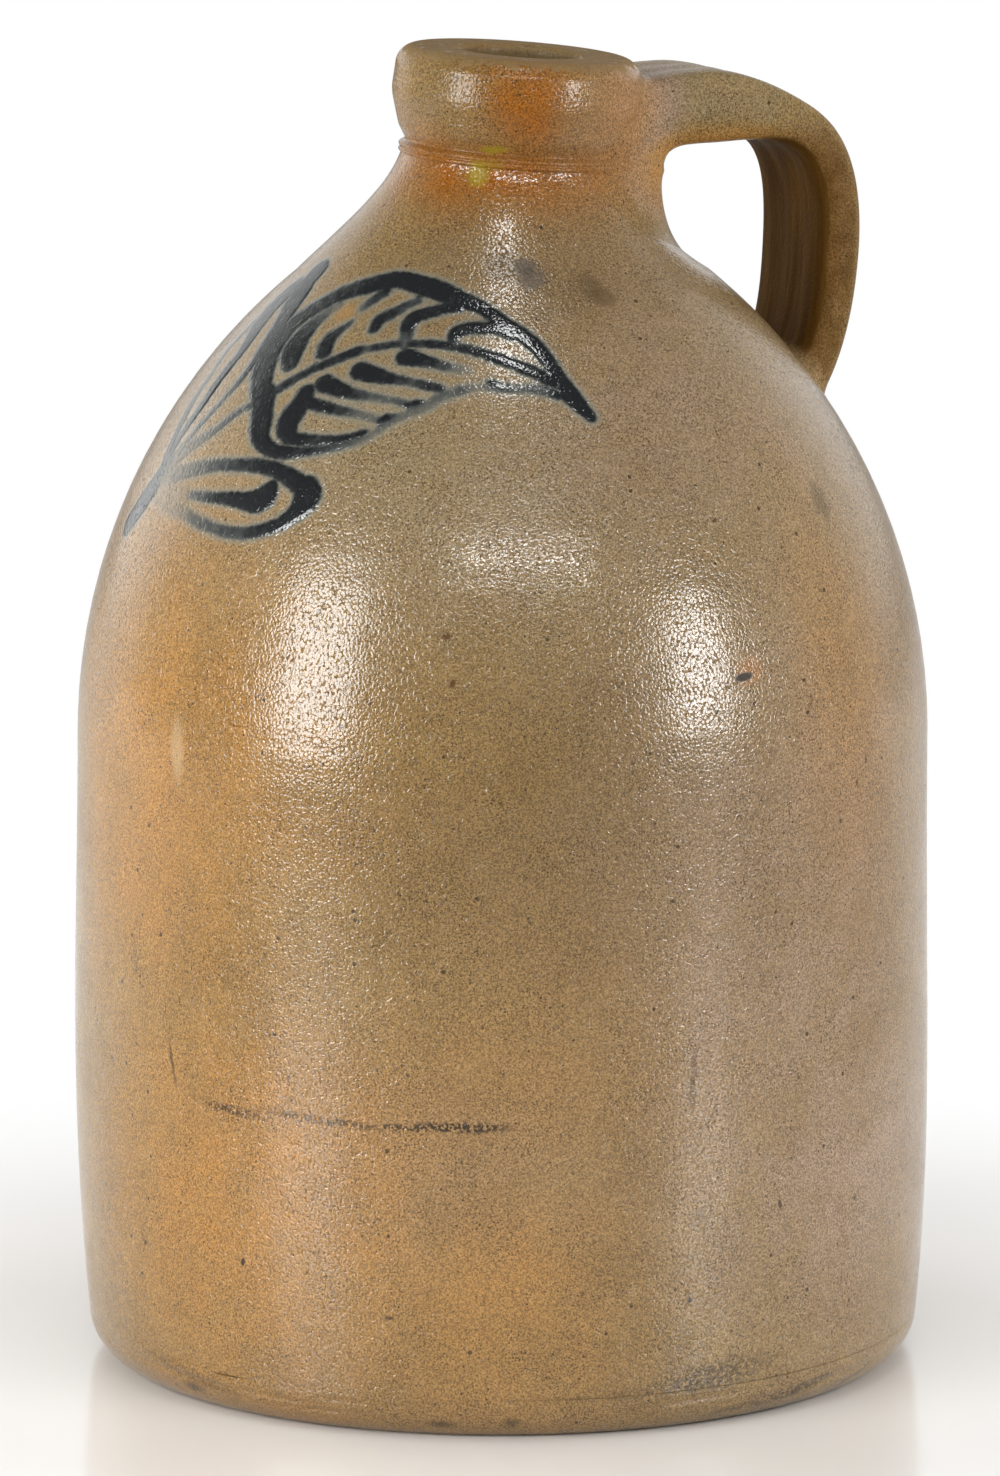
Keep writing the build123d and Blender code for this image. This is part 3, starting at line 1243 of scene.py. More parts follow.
def surface_net(values: Array, corner: Array, step: float) -> tuple[Array, Array]:
    """Skins the places where a field on a grid changes sign.

    Args:
        values: Field on the grid, negative inside.
        corner: Place of the grid's first point.
        step: Distance between the grid's points.

    Returns:
        The vertices and the four-sided faces of the skin.
    """
    cells = tuple(size - 1 for size in values.shape)
    total, count = np.zeros((*cells, 3)), np.zeros(cells)
    crossings = []
    for axis in range(3):
        low = np.take(values, range(values.shape[axis] - 1), axis)
        high = np.take(values, range(1, values.shape[axis]), axis)
        at = np.argwhere((low < 0) != (high < 0))
        first, second = low[tuple(at.T)], high[tuple(at.T)]
        spot = at.astype(float)
        spot[:, axis] += first / (first - second)
        u, v = (axis + 1) % 3, (axis + 2) % 3
        around = []
        for back_u, back_v in ((1, 1), (0, 1), (0, 0), (1, 0)):
            cell = at.copy()
            cell[:, u] -= back_u
            cell[:, v] -= back_v
            np.add.at(total, tuple(cell.T), spot)
            np.add.at(count, tuple(cell.T), 1)
            around.append(cell)
        crossings.append((first < 0, around))
    used = count > 0
    number = np.full(cells, -1)
    number[used] = np.arange(used.sum())
    faces = []
    for inward, around in crossings:
        quad = np.column_stack([number[tuple(cell.T)] for cell in around])
        faces.append(np.where(inward[:, None], quad, quad[:, ::-1]))
    return corner + step * total[used] / count[used][:, None], np.vstack(faces)


@dataclass
class StrapHandle:
    """Pulled strap handle smoothed onto the collar and the shoulder, in millimetres and degrees."""

    vessel: ThrownVessel
    root_drop: float = 26.0
    crown_drop: float = 18.7
    crown_setback: float = 28.3
    knee_drop: float = 28.8
    knee_setback: float = 6.3
    reach_drop: float = 62.0
    foot_rise: float = 86.5
    sink: float = 9.0
    foot_lean: float = 40.0
    finger_room: float = 31.3
    root_width: float = 35.5
    foot_width: float = 33.4
    root_thickness: float = 19.4
    foot_thickness: float = 12.8
    thins_from: float = 0.32
    thins_to: float = 0.50
    edge_round: float = 5.4
    edge_limit: float = 0.45
    flute_depth: float = 0.18
    flute_pitch: float = 9.0
    flute_margin: float = 7.0
    thick_sway: float = 0.35
    thick_wave: float = 9.0
    thick_phase: float = 0.8
    width_sway: float = 0.5
    width_wave: float = 15.0
    web: float = 15.0
    top_web: float = 4.5
    side_web: float = 10.0
    foot_web: float = 8.0
    web_sides: tuple[float, float] = (0.25, 0.5)
    web_faces: tuple[float, float] = (-0.7, 0.8)
    web_shares: tuple[float, float] = (0.4, 0.7)
    web_ease: float = 0.6
    bury: float = 1.8
    under_skin: float = 0.45
    smear_reach: float = 17.0
    smear_radius: float = 25.5
    smear_fades: float = 26.0
    smear_taper: float = 0.6
    smear_top: float = 36.0
    smear_blend: float = 10.0
    key: float = 13.0
    bore_room: float = 25.0
    grid: float = 0.9
    slope_step: float = 0.3
    settle_rounds: int = 3
    settle_share: float = 0.8
    flush_lifts: tuple[float, float] = (-0.1, 1.6)
    hidden_lift: float = -0.3
    batch: int = 60000
    strap_lifts: tuple[float, float] = (1.0, 9.0)
    inner_faces: tuple[float, float] = (-0.45, -0.95)
    inner_shares: tuple[float, float] = (0.36, 0.52)
    upright_shares: tuple[float, float] = (0.40, 0.58)
    flank_sides: tuple[float, float] = (0.36, 0.5)
    flank_faces: tuple[float, float] = (0.95, 0.3)
    # Strength of the dark wash on the upright flanks, which is partly painted shade.
    flank_wash: float = 0.46
    pressed_lifts: tuple[float, float, float, float] = (0.6, 3.0, 6.0, 16.0)
    pressed_heights: tuple[float, float] = (292, 308)
    line_points: int = 240
    line: Array = field(init=False)

    def __post_init__(self) -> None:
        """Works out the line that the strap follows, as radius and height in the handle's plane."""
        s = self.vessel.sizes
        lean = math.radians(s.lean)
        lip = s.lip_height - s.dome_top
        lip_height = s.dome_top + lip * math.cos(lean)
        root = (lip - self.root_drop) * np.array([math.sin(lean), math.cos(lean)]) + [0, s.dome_top]
        reach_height = lip_height - self.reach_drop
        reach = float(s.dome_radius(reach_height)) + self.finger_room + self.foot_thickness / 2
        foot_height = s.shoulder_height + self.foot_rise
        landing = np.array([float(s.dome_radius(foot_height)), foot_height])
        tip = math.radians(self.foot_lean)
        points = np.array(
            [
                root,
                (reach - self.crown_setback, lip_height - self.crown_drop),
                (reach - self.knee_setback, lip_height - self.knee_drop),
                (reach, reach_height),
                landing,
                landing - self.sink * np.array([math.sin(tip), math.cos(tip)]),
            ]
        )
        self.line = smooth_line(points, self.line_points)

    def _strap_place(self, places: Array) -> tuple[Array, Array, Array]:
        """Finds places beside the strap's line.

        Args:
            places: Places, in millimetres.

        Returns:
            Shares along the line, distances along it and offsets towards the strap's outer face.
        """
        ahead, far_along = headings(self.line), travel(self.line)
        line, flat = self.line.astype(np.float32), places[:, [0, 2]].astype(np.float32)
        nearest = np.empty(len(flat), int)
        for start in range(0, len(flat), self.batch):
            part = flat[start : start + self.batch]
            far = (part[:, :1] - line[:, 0]) ** 2 + (part[:, 1:] - line[:, 1]) ** 2
            nearest[start : start + self.batch] = far.argmin(1)
        away = places[:, [0, 2]] - self.line[nearest]
        along = far_along[nearest] + (away * ahead[nearest]).sum(1)
        offset = ahead[nearest, 0] * away[:, 1] - ahead[nearest, 1] * away[:, 0]
        return along / far_along[-1], along, offset

    def _strap_gap(self, places: Array) -> tuple[Array, Array, Array, Array]:
        """Distance to the strap alone.

        Args:
            places: Places, in millimetres.

        Returns:
            The distances, shares and distances along the strap, and places from its inner face, -1, to its
            outer face, 1.
        """
        share, along, offset = self._strap_place(places)
        across = places[:, 1]
        within = np.clip(share, 0, 1)
        width = self.root_width + (self.foot_width - self.root_width) * within
        thin = ease(within, self.thins_from, self.thins_to)
        thick = self.root_thickness + (self.foot_thickness - self.root_thickness) * thin
        thick = thick + self.thick_sway * np.sin(along / self.thick_wave + self.thick_phase) * thin
        width = width + self.width_sway * np.sin(along / self.width_wave)
        inset = ease(np.abs(across), width / 2, width / 2 - self.flute_margin)
        flutes = np.cos(math.tau * across / self.flute_pitch) * inset
        half = np.column_stack([width / 2, thick / 2 + self.flute_depth * (flutes - 1) / 2])
        edge = np.minimum(self.edge_round, self.edge_limit * thick)
        out = np.abs(np.column_stack([across, offset])) - half + edge[:, None]
        box = np.linalg.norm(np.maximum(out, 0), axis=1) + np.minimum(out.max(1), 0) - edge
        beyond = np.maximum(-share, share - 1) * along.max()
        return np.maximum(box, beyond), share, along, offset / (thick / 2)

    def _smear_gap(self, places: Array) -> Array:
        """Distance to the clay that is smeared from under the strap's root down the neck.

        Args:
            places: Places, in millimetres.

        Returns:
            The distances.
        """
        s = self.vessel.sizes
        up = places[:, 2] - s.dome_top
        middle = self.smear_reach + up * math.tan(math.radians(s.lean))
        taper = self.smear_taper * np.maximum(up - self.smear_fades, 0.0)
        beside = np.hypot(places[:, 0] - middle, places[:, 1]) - self.smear_radius + taper
        return np.maximum(beside, up - self.smear_top)

    def gap(self, places: Array) -> Array:
        """Distance to the finished handle, smoothed onto the vessel and keyed under its skin.

        Args:
            places: Places, in millimetres.

        Returns:
            The distances, negative inside the clay.
        """
        strap, share, _, face = self._strap_gap(places)
        strap = self._merged(strap, self._smear_gap(places), self.smear_blend)
        vessel = self.vessel.gap(places)
        side = ease(np.abs(places[:, 1]), *(limit * self.root_width for limit in self.web_sides))
        above = ease(face, *self.web_faces)
        root = self.web + (self.top_web - self.web) * above
        root = root + (self.side_web - root) * side * (1 - self.web_ease * above)
        web = root + (self.foot_web - root) * ease(share, *self.web_shares)
        joined = self._merged(strap, vessel + self.under_skin, web)
        clear = self.bore_room - self.vessel.section(places)[1]
        return np.maximum(np.maximum(joined, -vessel - self.bury), np.maximum(strap - self.key, clear))

    def _merged(self, first: Array, second: Array, width: Array | float) -> Array:
        """Distance to two shapes whose join is filled with clay of a width."""
        meet = np.maximum(1 - np.abs(first - second) / width, 0)
        return np.minimum(first, second) - width * meet**2 / 4

    def build(self, glaze: bpy.types.Material) -> bpy.types.Object:
        """Skins the handle's field and settles its vertices on it.

        Args:
            glaze: Finish of the handle.

        Returns:
            The finished piece.
        """
        room = self.key + 3 * self.grid
        half = max(self.root_width / 2, self.smear_radius) + room
        low = np.array([self.smear_reach - half - self.key / 2, -half, self.line[:, 1].min() - room])
        high = self.line.max(0) + self.root_thickness / 2 + room
        high = np.array([high[0], half, high[1]])
        axes = [np.arange(a, b, self.grid) for a, b in zip(low, high)]
        nodes = np.stack(np.meshgrid(*axes, indexing="ij"), axis=-1).reshape(-1, 3)
        values = self.gap(nodes).reshape([len(axis) for axis in axes])
        places, faces = surface_net(values, low, self.grid)
        for _ in range(self.settle_rounds):
            downhill = steepest(self.gap, places, self.slope_step)
            places = places - self.settle_share * downhill * self.gap(places)[:, None]
        mesh = bpy.data.meshes.new("pulled_handle")
        mesh.from_pydata((places * MM).tolist(), [], faces.tolist())
        shade_smooth(mesh)
        normals = self._normals(places)
        mesh.normals_split_custom_set_from_vertices(normals.tolist())
        mesh.materials.append(glaze)
        self._dress(mesh, places)
        piece = new_piece("pulled_handle", mesh)
        hand_over(piece, GLAZE_SLOT, "strap_handle", "upper_handle_lute", "lower_handle_lute")
        return piece

    def _normals(self, places: Array) -> Array:
        """Directions that the handle is shaded by, which turn to the vessel's own where the two meet.

        Args:
            places: Vertices of the handle, in millimetres.

        Returns:
            The unit direction at each vertex.
        """
        own = steepest(self.gap, places, self.slope_step)
        under = steepest(self.vessel.gap, places, self.slope_step)
        lift = self.vessel.gap(places)[:, None]
        hold = ease(lift, *self.flush_lifts)
        return unit(np.where(lift > self.hidden_lift, own * hold + under * (1 - hold), own))

    def _dress(self, mesh: bpy.types.Mesh, places: Array) -> None:
        """Writes the kiln's colours, the lengthwise marks and the painted shade of the upright strap onto
        the handle.

        Args:
            mesh: Mesh of the handle.
            places: Its vertices, in millimetres.
        """
        front = math.degrees(self.vessel.camera.front)
        turn = np.degrees(np.arctan2(places[:, 1], places[:, 0])) - front
        bearing = (turn + 180) % 360 - 180
        _, share, along, face = self._strap_gap(places)
        lift = self.vessel.gap(places)
        on_strap = ease(lift, *self.strap_lifts)
        inner = ease(face, *self.inner_faces) * on_strap * ease(share, *self.inner_shares)
        upright = ease(share, *self.upright_shares)
        # The upright strap's flanks take the dark wash as well: partly their own brown, partly painted shade
        # on their shadow side.
        flank = ease(np.abs(places[:, 1]), *(limit * self.foot_width for limit in self.flank_sides))
        flank = flank * ease(face, *self.flank_faces) * on_strap * upright
        lay_trace(mesh, Trace.WASH, np.maximum(inner, self.flank_wash * flank))
        lay_trace(mesh, Trace.ALONG, along)
        lay_trace(mesh, Trace.ACROSS, places[:, 1])
        crown = on_strap * (1 - inner) * (1 - 0.9 * upright)
        rises, risen, fades, faded = self.pressed_lifts
        pressed = ease(lift, rises, risen) * ease(lift, faded, fades)
        pressed = pressed * ease(places[:, 2], *self.pressed_heights)
        own = {
            Blush.ASH: 0.45 * crown * ease(face, -0.9, 0.2),
            Blush.WARM: 0.8 * crown * ease(face, -0.2, -1.0),
            Blush.ROSE: 0.85 * pressed * (1 - upright),
            # The upright strap is laid darker brown and rust: partly its own colour, partly painted shade.
            Blush.UMBER: 0.9 * on_strap * upright,
            Blush.RUST: 0.25 * on_strap * upright * ease(face, 0.9, -0.6),
        }
        for kind in Blush:
            shared = blush_level(kind, bearing, places[:, 2]) * (1 - on_strap)
            lay_trace(mesh, kind, np.maximum(shared, own[kind]))


@dataclass(frozen=True)
class Stroke:
    """One stroke of the brush as dabs: the pixel that shows each, its width in pixels, its load of paint."""

    dabs: tuple[Dab, ...]

    def spots(self, pixel_step: float = 1.5) -> tuple[Array, Array, Array, Array]:
        """Follows the stroke.

        Args:
            pixel_step: Distance between two spots, in pixels.

        Returns:
            The pixels along the stroke, those at its two edges, and its loads of paint.
        """
        points, widths, loads = np.split(np.array(self.dabs, float), [2, 3], axis=1)
        knots = travel(points)
        where = np.linspace(0, knots[-1], max(math.ceil(knots[-1] / pixel_step), 3))
        line = smooth_line(points, len(where))
        ahead = headings(line)
        half = np.interp(where, knots, widths[:, 0])[:, None] / 2
        side = np.column_stack([-ahead[:, 1], ahead[:, 0]]) * half
        return line, line - side, line + side, np.interp(where, knots, loads[:, 0])


LEAF_STROKES = (
    # Outline over the top of the leaf, from its base to the tip
    Stroke((
        (261, 392, 19, 0.85), (262, 376, 19, 0.8), (266, 360, 19, 0.75), (274, 345, 18, 0.75),
        (285, 331, 14, 0.75), (300, 318, 12, 0.75), (320, 305, 12, 0.75), (340, 295, 12, 0.8),
        (360, 288, 14, 0.85), (380, 283, 15, 0.95), (400, 280, 16, 1), (420, 285, 19, 1),
        (440, 291, 20, 1), (460, 300, 18, 1), (480, 307, 13, 1), (500, 321, 14, 1), (520, 334, 15, 1),
        (540, 351, 14, 1), (552, 368, 14, 1), (562, 384, 17, 1), (571, 396, 18, 1), (580, 406, 14, 1),
        (591, 417, 10, 1),
    )),
    # Outline under the leaf
    Stroke((
        (264, 396, 20, 0.85), (262, 410, 20, 0.9), (261, 422, 20, 0.95), (260, 432, 18, 1),
        (264, 444, 17, 1), (272, 450, 16, 1), (284, 453, 13, 1), (300, 452, 10, 0.9), (320, 450, 8, 0.75),
        (340, 446, 7, 0.6), (360, 441, 6, 0.45), (380, 429, 7, 0.4), (400, 417, 8, 0.4),
        (420, 409, 9, 0.45), (440, 398, 10, 0.45), (458, 391, 9, 0.55), (480, 387, 6, 0.35),
        (500, 388, 8, 0.6), (520, 389, 9, 0.5), (540, 390, 9, 0.55), (557, 395, 10, 0.8),
    )),
    # Stem and midrib
    Stroke((
        (169, 466, 8, 0.3), (190, 447, 8, 0.35), (214, 431, 6, 0.45), (240, 411, 5, 0.55),
        (257, 402, 6, 0.6), (270, 394, 8, 0.8), (285, 385, 8, 0.85), (300, 376, 7, 0.85),
        (320, 366, 8, 0.9), (340, 358, 8, 0.9), (358, 351, 9, 0.95), (366, 349, 5, 0.6),
        (374, 348, 7, 0.8), (390, 345, 7, 0.85), (410, 344, 7, 0.9), (430, 344, 8, 0.9),
        (450, 346, 8, 0.85), (470, 350, 9, 0.85), (490, 356, 10, 0.9), (510, 363, 11, 0.9),
        (530, 371, 12, 0.95), (552, 381, 12, 1),
    )),
    # Veins above the midrib
    Stroke((
        (291, 362, 16, 0.85), (293, 350, 20, 0.85), (300, 338, 16, 0.8), (311, 326, 12, 0.7),
        (325, 314, 8, 0.5), (338, 306, 6, 0.3),
    )),
    Stroke((
        (324, 351, 14, 0.95), (327, 343, 13, 0.85), (335, 334, 9, 0.75), (345, 327, 6, 0.7),
        (351, 322, 4, 0.45),
    )),
    Stroke(((363, 308, 6, 0.45), (372, 301, 8, 0.75), (386, 292, 8, 0.85))),
    Stroke((
        (374, 329, 9, 0.85), (379, 321, 11, 0.9), (391, 314, 10, 0.85), (404, 307, 8, 0.75),
        (418, 301, 7, 0.65),
    )),
    Stroke((
        (405, 345, 11, 0.35), (407, 333, 13, 0.8), (409, 324, 14, 1), (416, 317, 12, 1),
        (428, 313, 11, 0.95), (442, 309, 11, 0.9), (458, 306, 13, 1),
    )),
    Stroke((
        (456, 347, 10, 0.5), (453, 337, 11, 0.85), (461, 330, 12, 0.95), (478, 328, 12, 0.9),
        (495, 328, 13, 0.95), (512, 334, 13, 1),
    )),
    # Veins under the midrib
    Stroke((
        (306, 402, 12, 1), (320, 406, 12, 0.95), (340, 411, 10, 0.8), (360, 415, 8, 0.45),
        (376, 419, 7, 0.4),
    )),
    Stroke((
        (324, 383, 19, 1), (335, 388, 17, 1), (350, 393, 12, 0.9), (370, 397, 8, 0.6), (390, 400, 7, 0.5),
        (404, 403, 7, 0.55),
    )),
    Stroke((
        (360, 371, 19, 1), (375, 375, 16, 1), (392, 379, 11, 0.9), (410, 382, 8, 0.65),
        (428, 386, 9, 0.85), (441, 389, 8, 0.85),
    )),
    Stroke((
        (406, 357, 18, 1), (420, 360, 13, 1), (436, 364, 10, 0.8), (452, 368, 8, 0.5), (468, 371, 6, 0.25),
    )),
    # Loop inside the leaf's base
    Stroke((
        (305, 394, 16, 1), (301, 403, 18, 1), (292, 415, 20, 1), (287, 428, 21, 1), (291, 437, 17, 1),
        (301, 440, 13, 0.95), (320, 440, 9, 0.8), (340, 439, 8, 0.8), (355, 436, 7, 1),
        (366, 432, 6, 0.95),
    )),
    # Beads of paint where the lower veins meet the outline
    Stroke(((379, 421, 7, 1), (387, 419, 9, 1), (395, 417, 6, 1))),
    Stroke(((406, 405, 6, 1), (414, 404, 8, 1), (422, 402, 5, 1))),
    Stroke(((489, 382, 5, 1), (496, 385, 8, 1), (504, 389, 5, 1))),
    # Reeds beside the leaf
    Stroke((
        (158, 478, 4, 0.5), (170, 448, 4, 0.55), (183, 420, 4, 0.55), (195, 398, 4, 0.5),
        (210, 376, 3, 0.45), (225, 353, 3, 0.45), (240, 336, 3, 0.45), (252, 323, 3, 0.4),
    )),
    Stroke((
        (161, 474, 4, 0.5), (180, 437, 4, 0.55), (200, 408, 5, 0.8), (210, 393, 6, 1), (225, 372, 6, 0.9),
        (240, 353, 6, 0.75), (252, 335, 8, 0.7), (263, 318, 10, 0.6), (276, 303, 9, 0.65),
        (291, 289, 9, 0.75),
    )),
    Stroke((
        (170, 462, 4, 0.4), (200, 425, 4, 0.45), (220, 403, 4, 0.5), (240, 380, 5, 0.6),
        (255, 360, 6, 0.75), (266, 344, 9, 0.75), (280, 324, 11, 0.75), (290, 308, 12, 0.75),
        (300, 292, 14, 0.78), (310, 279, 15, 0.75), (316, 272, 12, 0.72),
    )),
    # Bud under the leaf
    Stroke((
        (163, 478, 12, 0.25), (180, 473, 11, 0.35), (200, 468, 11, 0.45), (220, 465, 11, 0.6),
        (240, 465, 12, 0.75), (260, 466, 14, 0.9), (280, 472, 17, 1), (295, 481, 20, 1), (306, 490, 24, 1),
    )),
    Stroke(((306, 488, 24, 1), (307, 495, 28, 1), (303, 503, 22, 1))),
    Stroke((
        (301, 507, 19, 1), (290, 517, 14, 1), (277, 525, 12, 0.95), (262, 530, 12, 0.9),
        (245, 533, 12, 0.75), (228, 532, 12, 0.65), (210, 527, 12, 0.55), (195, 520, 12, 0.45),
        (180, 511, 14, 0.25), (164, 505, 14, 0.15),
    )),
    Stroke((
        (178, 494, 6, 0.25), (200, 496, 9, 0.6), (220, 498, 11, 0.9), (240, 500, 16, 1), (256, 501, 22, 1),
        (266, 496, 20, 1), (271, 488, 12, 1),
    )),
    # Stalk that the spray grows from, and the pale wash where the strokes set off
    Stroke(((167, 466, 8, 0.45), (155, 484, 10, 0.6), (143, 502, 10, 0.65), (129, 523, 7, 0.65))),
    Stroke(((160, 492, 22, 0.12), (184, 497, 18, 0.1))),
    Stroke(((164, 492, 7, 0.5), (167, 491, 6, 0.45))),
)


@dataclass
class CobaltLeaf:
    """Brushed cobalt spray on the shoulder, pooled a little proud of the glaze."""

    camera: PhotoCamera
    vessel: ThrownVessel
    bleed: float = 2.0
    widest: float = 4.6
    pool: float = 0.16
    pool_edge: tuple[float, float] = (-0.2, 1.1)
    pool_loads: tuple[float, float] = (0.4, 1.0)
    mixing: float = 2.0
    batch: int = 2000

    def paint(self, *pieces: bpy.types.Object) -> None:
        """Lays the spray's paint on pieces of the vessel.

        Args:
            pieces: Pieces that the strokes run over.
        """
        strokes = [stroke.spots() for stroke in LEAF_STROKES]
        spots, left, right = (
            self.camera.seen(np.vstack([stroke[row] for stroke in strokes]), self.vessel.gap)
            for row in range(3)
        )
        half = np.minimum(np.linalg.norm(left - right, axis=1) / 2, self.widest)
        loads = np.concatenate([stroke[3] for stroke in strokes])
        for piece in pieces:
            places = vertex_rows(piece.data, "co").astype(float) / MM
            inside, load = self._cover(places, spots, half, loads)
            lay_trace(piece.data, Trace.COBALT, np.maximum(inside + self.bleed, 0))
            lay_trace(piece.data, Trace.LOAD, load)
            raised = self.pool * ease(inside, *self.pool_edge) * ease(load, *self.pool_loads)
            move_vertices(piece.data, places + vertex_rows(piece.data, "normal") * raised[:, None])
            LOG.info("cobalt on %s: %d painted vertices", piece.name, int((inside > 0).sum()))

    def _cover(self, places: Array, spots: Array, half: Array, loads: Array) -> tuple[Array, Array]:
        """Finds how the strokes cover places.

        Args:
            places: Places on the vessel, in millimetres.
            spots: Places along the strokes.
            half: Half the stroke's width at each spot.
            loads: Load of paint at each spot.

        Returns:
            How far inside a stroke each place lies, in millimetres, and its load of paint.
        """
        reach = half.max() + self.bleed + 1
        near = ((places > spots.min(0) - reach) & (places < spots.max(0) + reach)).all(1)
        inside, load = np.full(len(places), -self.bleed), np.zeros(len(places))
        picked = np.flatnonzero(near)
        for start in range(0, len(picked), self.batch):
            part = picked[start : start + self.batch]
            far = np.linalg.norm(places[part][:, None] - spots[None], axis=2) - half
            inside[part] = -far.min(1)
            weight = np.exp(-self.mixing * np.maximum(far - far.min(1)[:, None], 0))
            load[part] = (weight * loads).sum(1) / weight.sum(1)
        return inside, load


@dataclass(frozen=True)
class Mark:
    """A small stain, pit or scuff, by the pixel that shows it, with its half sizes in millimetres."""

    pixel: Pixel
    half_width: float
    half_height: float
    colour: Colour
    strength: float = 0.8
    turn: float = 0.0
    grit: bool = False
    soft: float = 0.6
    matte: float = 0.0
    depth: float = 5.0

    def frame(self, camera: PhotoCamera, vessel: ThrownVessel) -> Matrix:
        """Finds the mark on the jug.

        Args:
            camera: Camera whose pixels place the mark.
            vessel: Vessel that it lies on.

        Returns:
            Its place and directions, in millimetres.
        """
        spot = camera.seen(np.array([self.pixel], float), vessel.gap)
        out = Vector(steepest(vessel.gap, spot, near=0.5)[0])
        along = Vector((0, 0, 1)).cross(out).normalized()
        turned = Matrix((along, out.cross(along), out)).transposed()
        turned = turned @ Matrix.Rotation(math.radians(self.turn), 3, "Z")
        return Matrix.Translation(Vector(spot[0])) @ turned.to_4x4()


OLIVE_STAIN = (0.26, 0.20, 0.008)
DULL_BROWN = (0.088, 0.056, 0.022)
SOOT = (0.030, 0.020, 0.010)
IRON = (0.075, 0.030, 0.008)
SCORCH = (0.34, 0.13, 0.030)
PALE_CLAY = (0.46, 0.33, 0.18)
RUST_WEAR = (0.30, 0.17, 0.060)

SHELF_MARKS = (
    Mark((478, 174), 3.3, 4.2, OLIVE_STAIN, 0.72, matte=0.4),
    Mark((492, 166), 3.4, 2.0, OLIVE_STAIN, 0.30),
    Mark((494, 150), 4.6, 1.4, OLIVE_STAIN, 0.62),
    Mark((555, 285), 24.0, 13.0, DULL_BROWN, 0.38, grit=True, soft=0.9),
    Mark((503, 266), 7.0, 6.0, DULL_BROWN, 0.55, matte=0.4),
    Mark((526, 267), 4.0, 3.4, SOOT, 0.60, soft=0.5, matte=0.9),
    Mark((531, 278), 4.6, 4.6, SOOT, 0.60, soft=0.5, matte=0.9),
    Mark((590, 287), 3.8, 5.0, DULL_BROWN, 0.55, soft=0.55, matte=0.5),
    Mark((603, 297), 4.4, 4.2, DULL_BROWN, 0.60, soft=0.55, matte=0.5),
    Mark((460, 1128), 17.0, 1.6, SOOT, 0.95, grit=True),
    Mark((400, 1128), 9.0, 1.1, SOOT, 0.80, grit=True),
    Mark((320, 1120), 22.0, 1.4, SOOT, 0.75, turn=-3.0, grit=True),
    Mark((232, 1110), 14.0, 1.5, SOOT, 0.75, turn=-4.0, grit=True),
    Mark((172, 1062), 0.8, 7.0, SOOT, 0.75, turn=14.0, soft=0.7),
    Mark((750, 672), 5.0, 4.4, SCORCH, 0.40),
    Mark((744, 677), 3.2, 1.3, SOOT, 1.00, turn=6.0, soft=0.35, matte=1.0),
    Mark((345, 312), 4.2, 3.2, RUST_WEAR, 0.70),
    Mark((716, 1374), 20.0, 5.0, SOOT, 0.60, turn=4.0, grit=True),
    Mark((800, 1391), 22.0, 2.0, SOOT, 0.70, turn=9.0, grit=True),
    Mark((640, 1392), 30.0, 2.4, SOOT, 0.22, turn=3.0, grit=True),
    Mark((850, 1385), 14.0, 1.6, SOOT, 0.60, turn=14.0, grit=True),
    Mark((190, 1375), 26.0, 2.0, SOOT, 0.40, turn=-9.0, grit=True),
    Mark((177, 750), 3.0, 10.0, PALE_CLAY, 0.45, turn=6.0),
    Mark((694, 1066), 1.0, 5.5, IRON, 0.70, soft=0.8),
    Mark((692, 1092), 1.4, 6.0, DULL_BROWN, 0.55),
    Mark((820, 500), 4.0, 6.0, DULL_BROWN, 0.55),
    Mark((190, 1388), 5.0, 1.8, SOOT, 0.75, soft=0.8),
    Mark((441, 1427), 5.0, 1.6, SOOT, 0.80, soft=0.8),
    Mark((512, 1426), 3.2, 2.2, SOOT, 0.70, soft=0.8),
    Mark((735, 1412), 14.0, 1.6, SOOT, 0.55, turn=7.0, grit=True),
    Mark((447, 636), 1.5, 1.4, IRON, 0.85),
    Mark((452, 684), 1.1, 1.2, IRON, 0.85),
    Mark((369, 703), 1.0, 1.0, IRON, 0.85),
    Mark((243, 1262), 0.7, 1.3, SOOT, 0.95, turn=-15.0, soft=0.4),
    Mark((389, 1318), 1.6, 0.5, SOOT, 0.75, turn=-8.0),
    Mark((780, 1204), 0.7, 1.4, SOOT, 0.85, turn=20.0, soft=0.4),
    Mark((690, 1300), 0.8, 0.8, SOOT, 0.90, soft=0.4),
    Mark((866, 760), 0.6, 1.4, SOOT, 0.75, soft=0.5),
    Mark((857, 783), 0.8, 1.2, IRON, 0.75, soft=0.5),
    Mark((852, 468), 0.6, 1.6, SOOT, 0.80, turn=18.0, soft=0.4),
    Mark((714, 520), 0.9, 0.9, IRON, 0.85, soft=0.5),
)


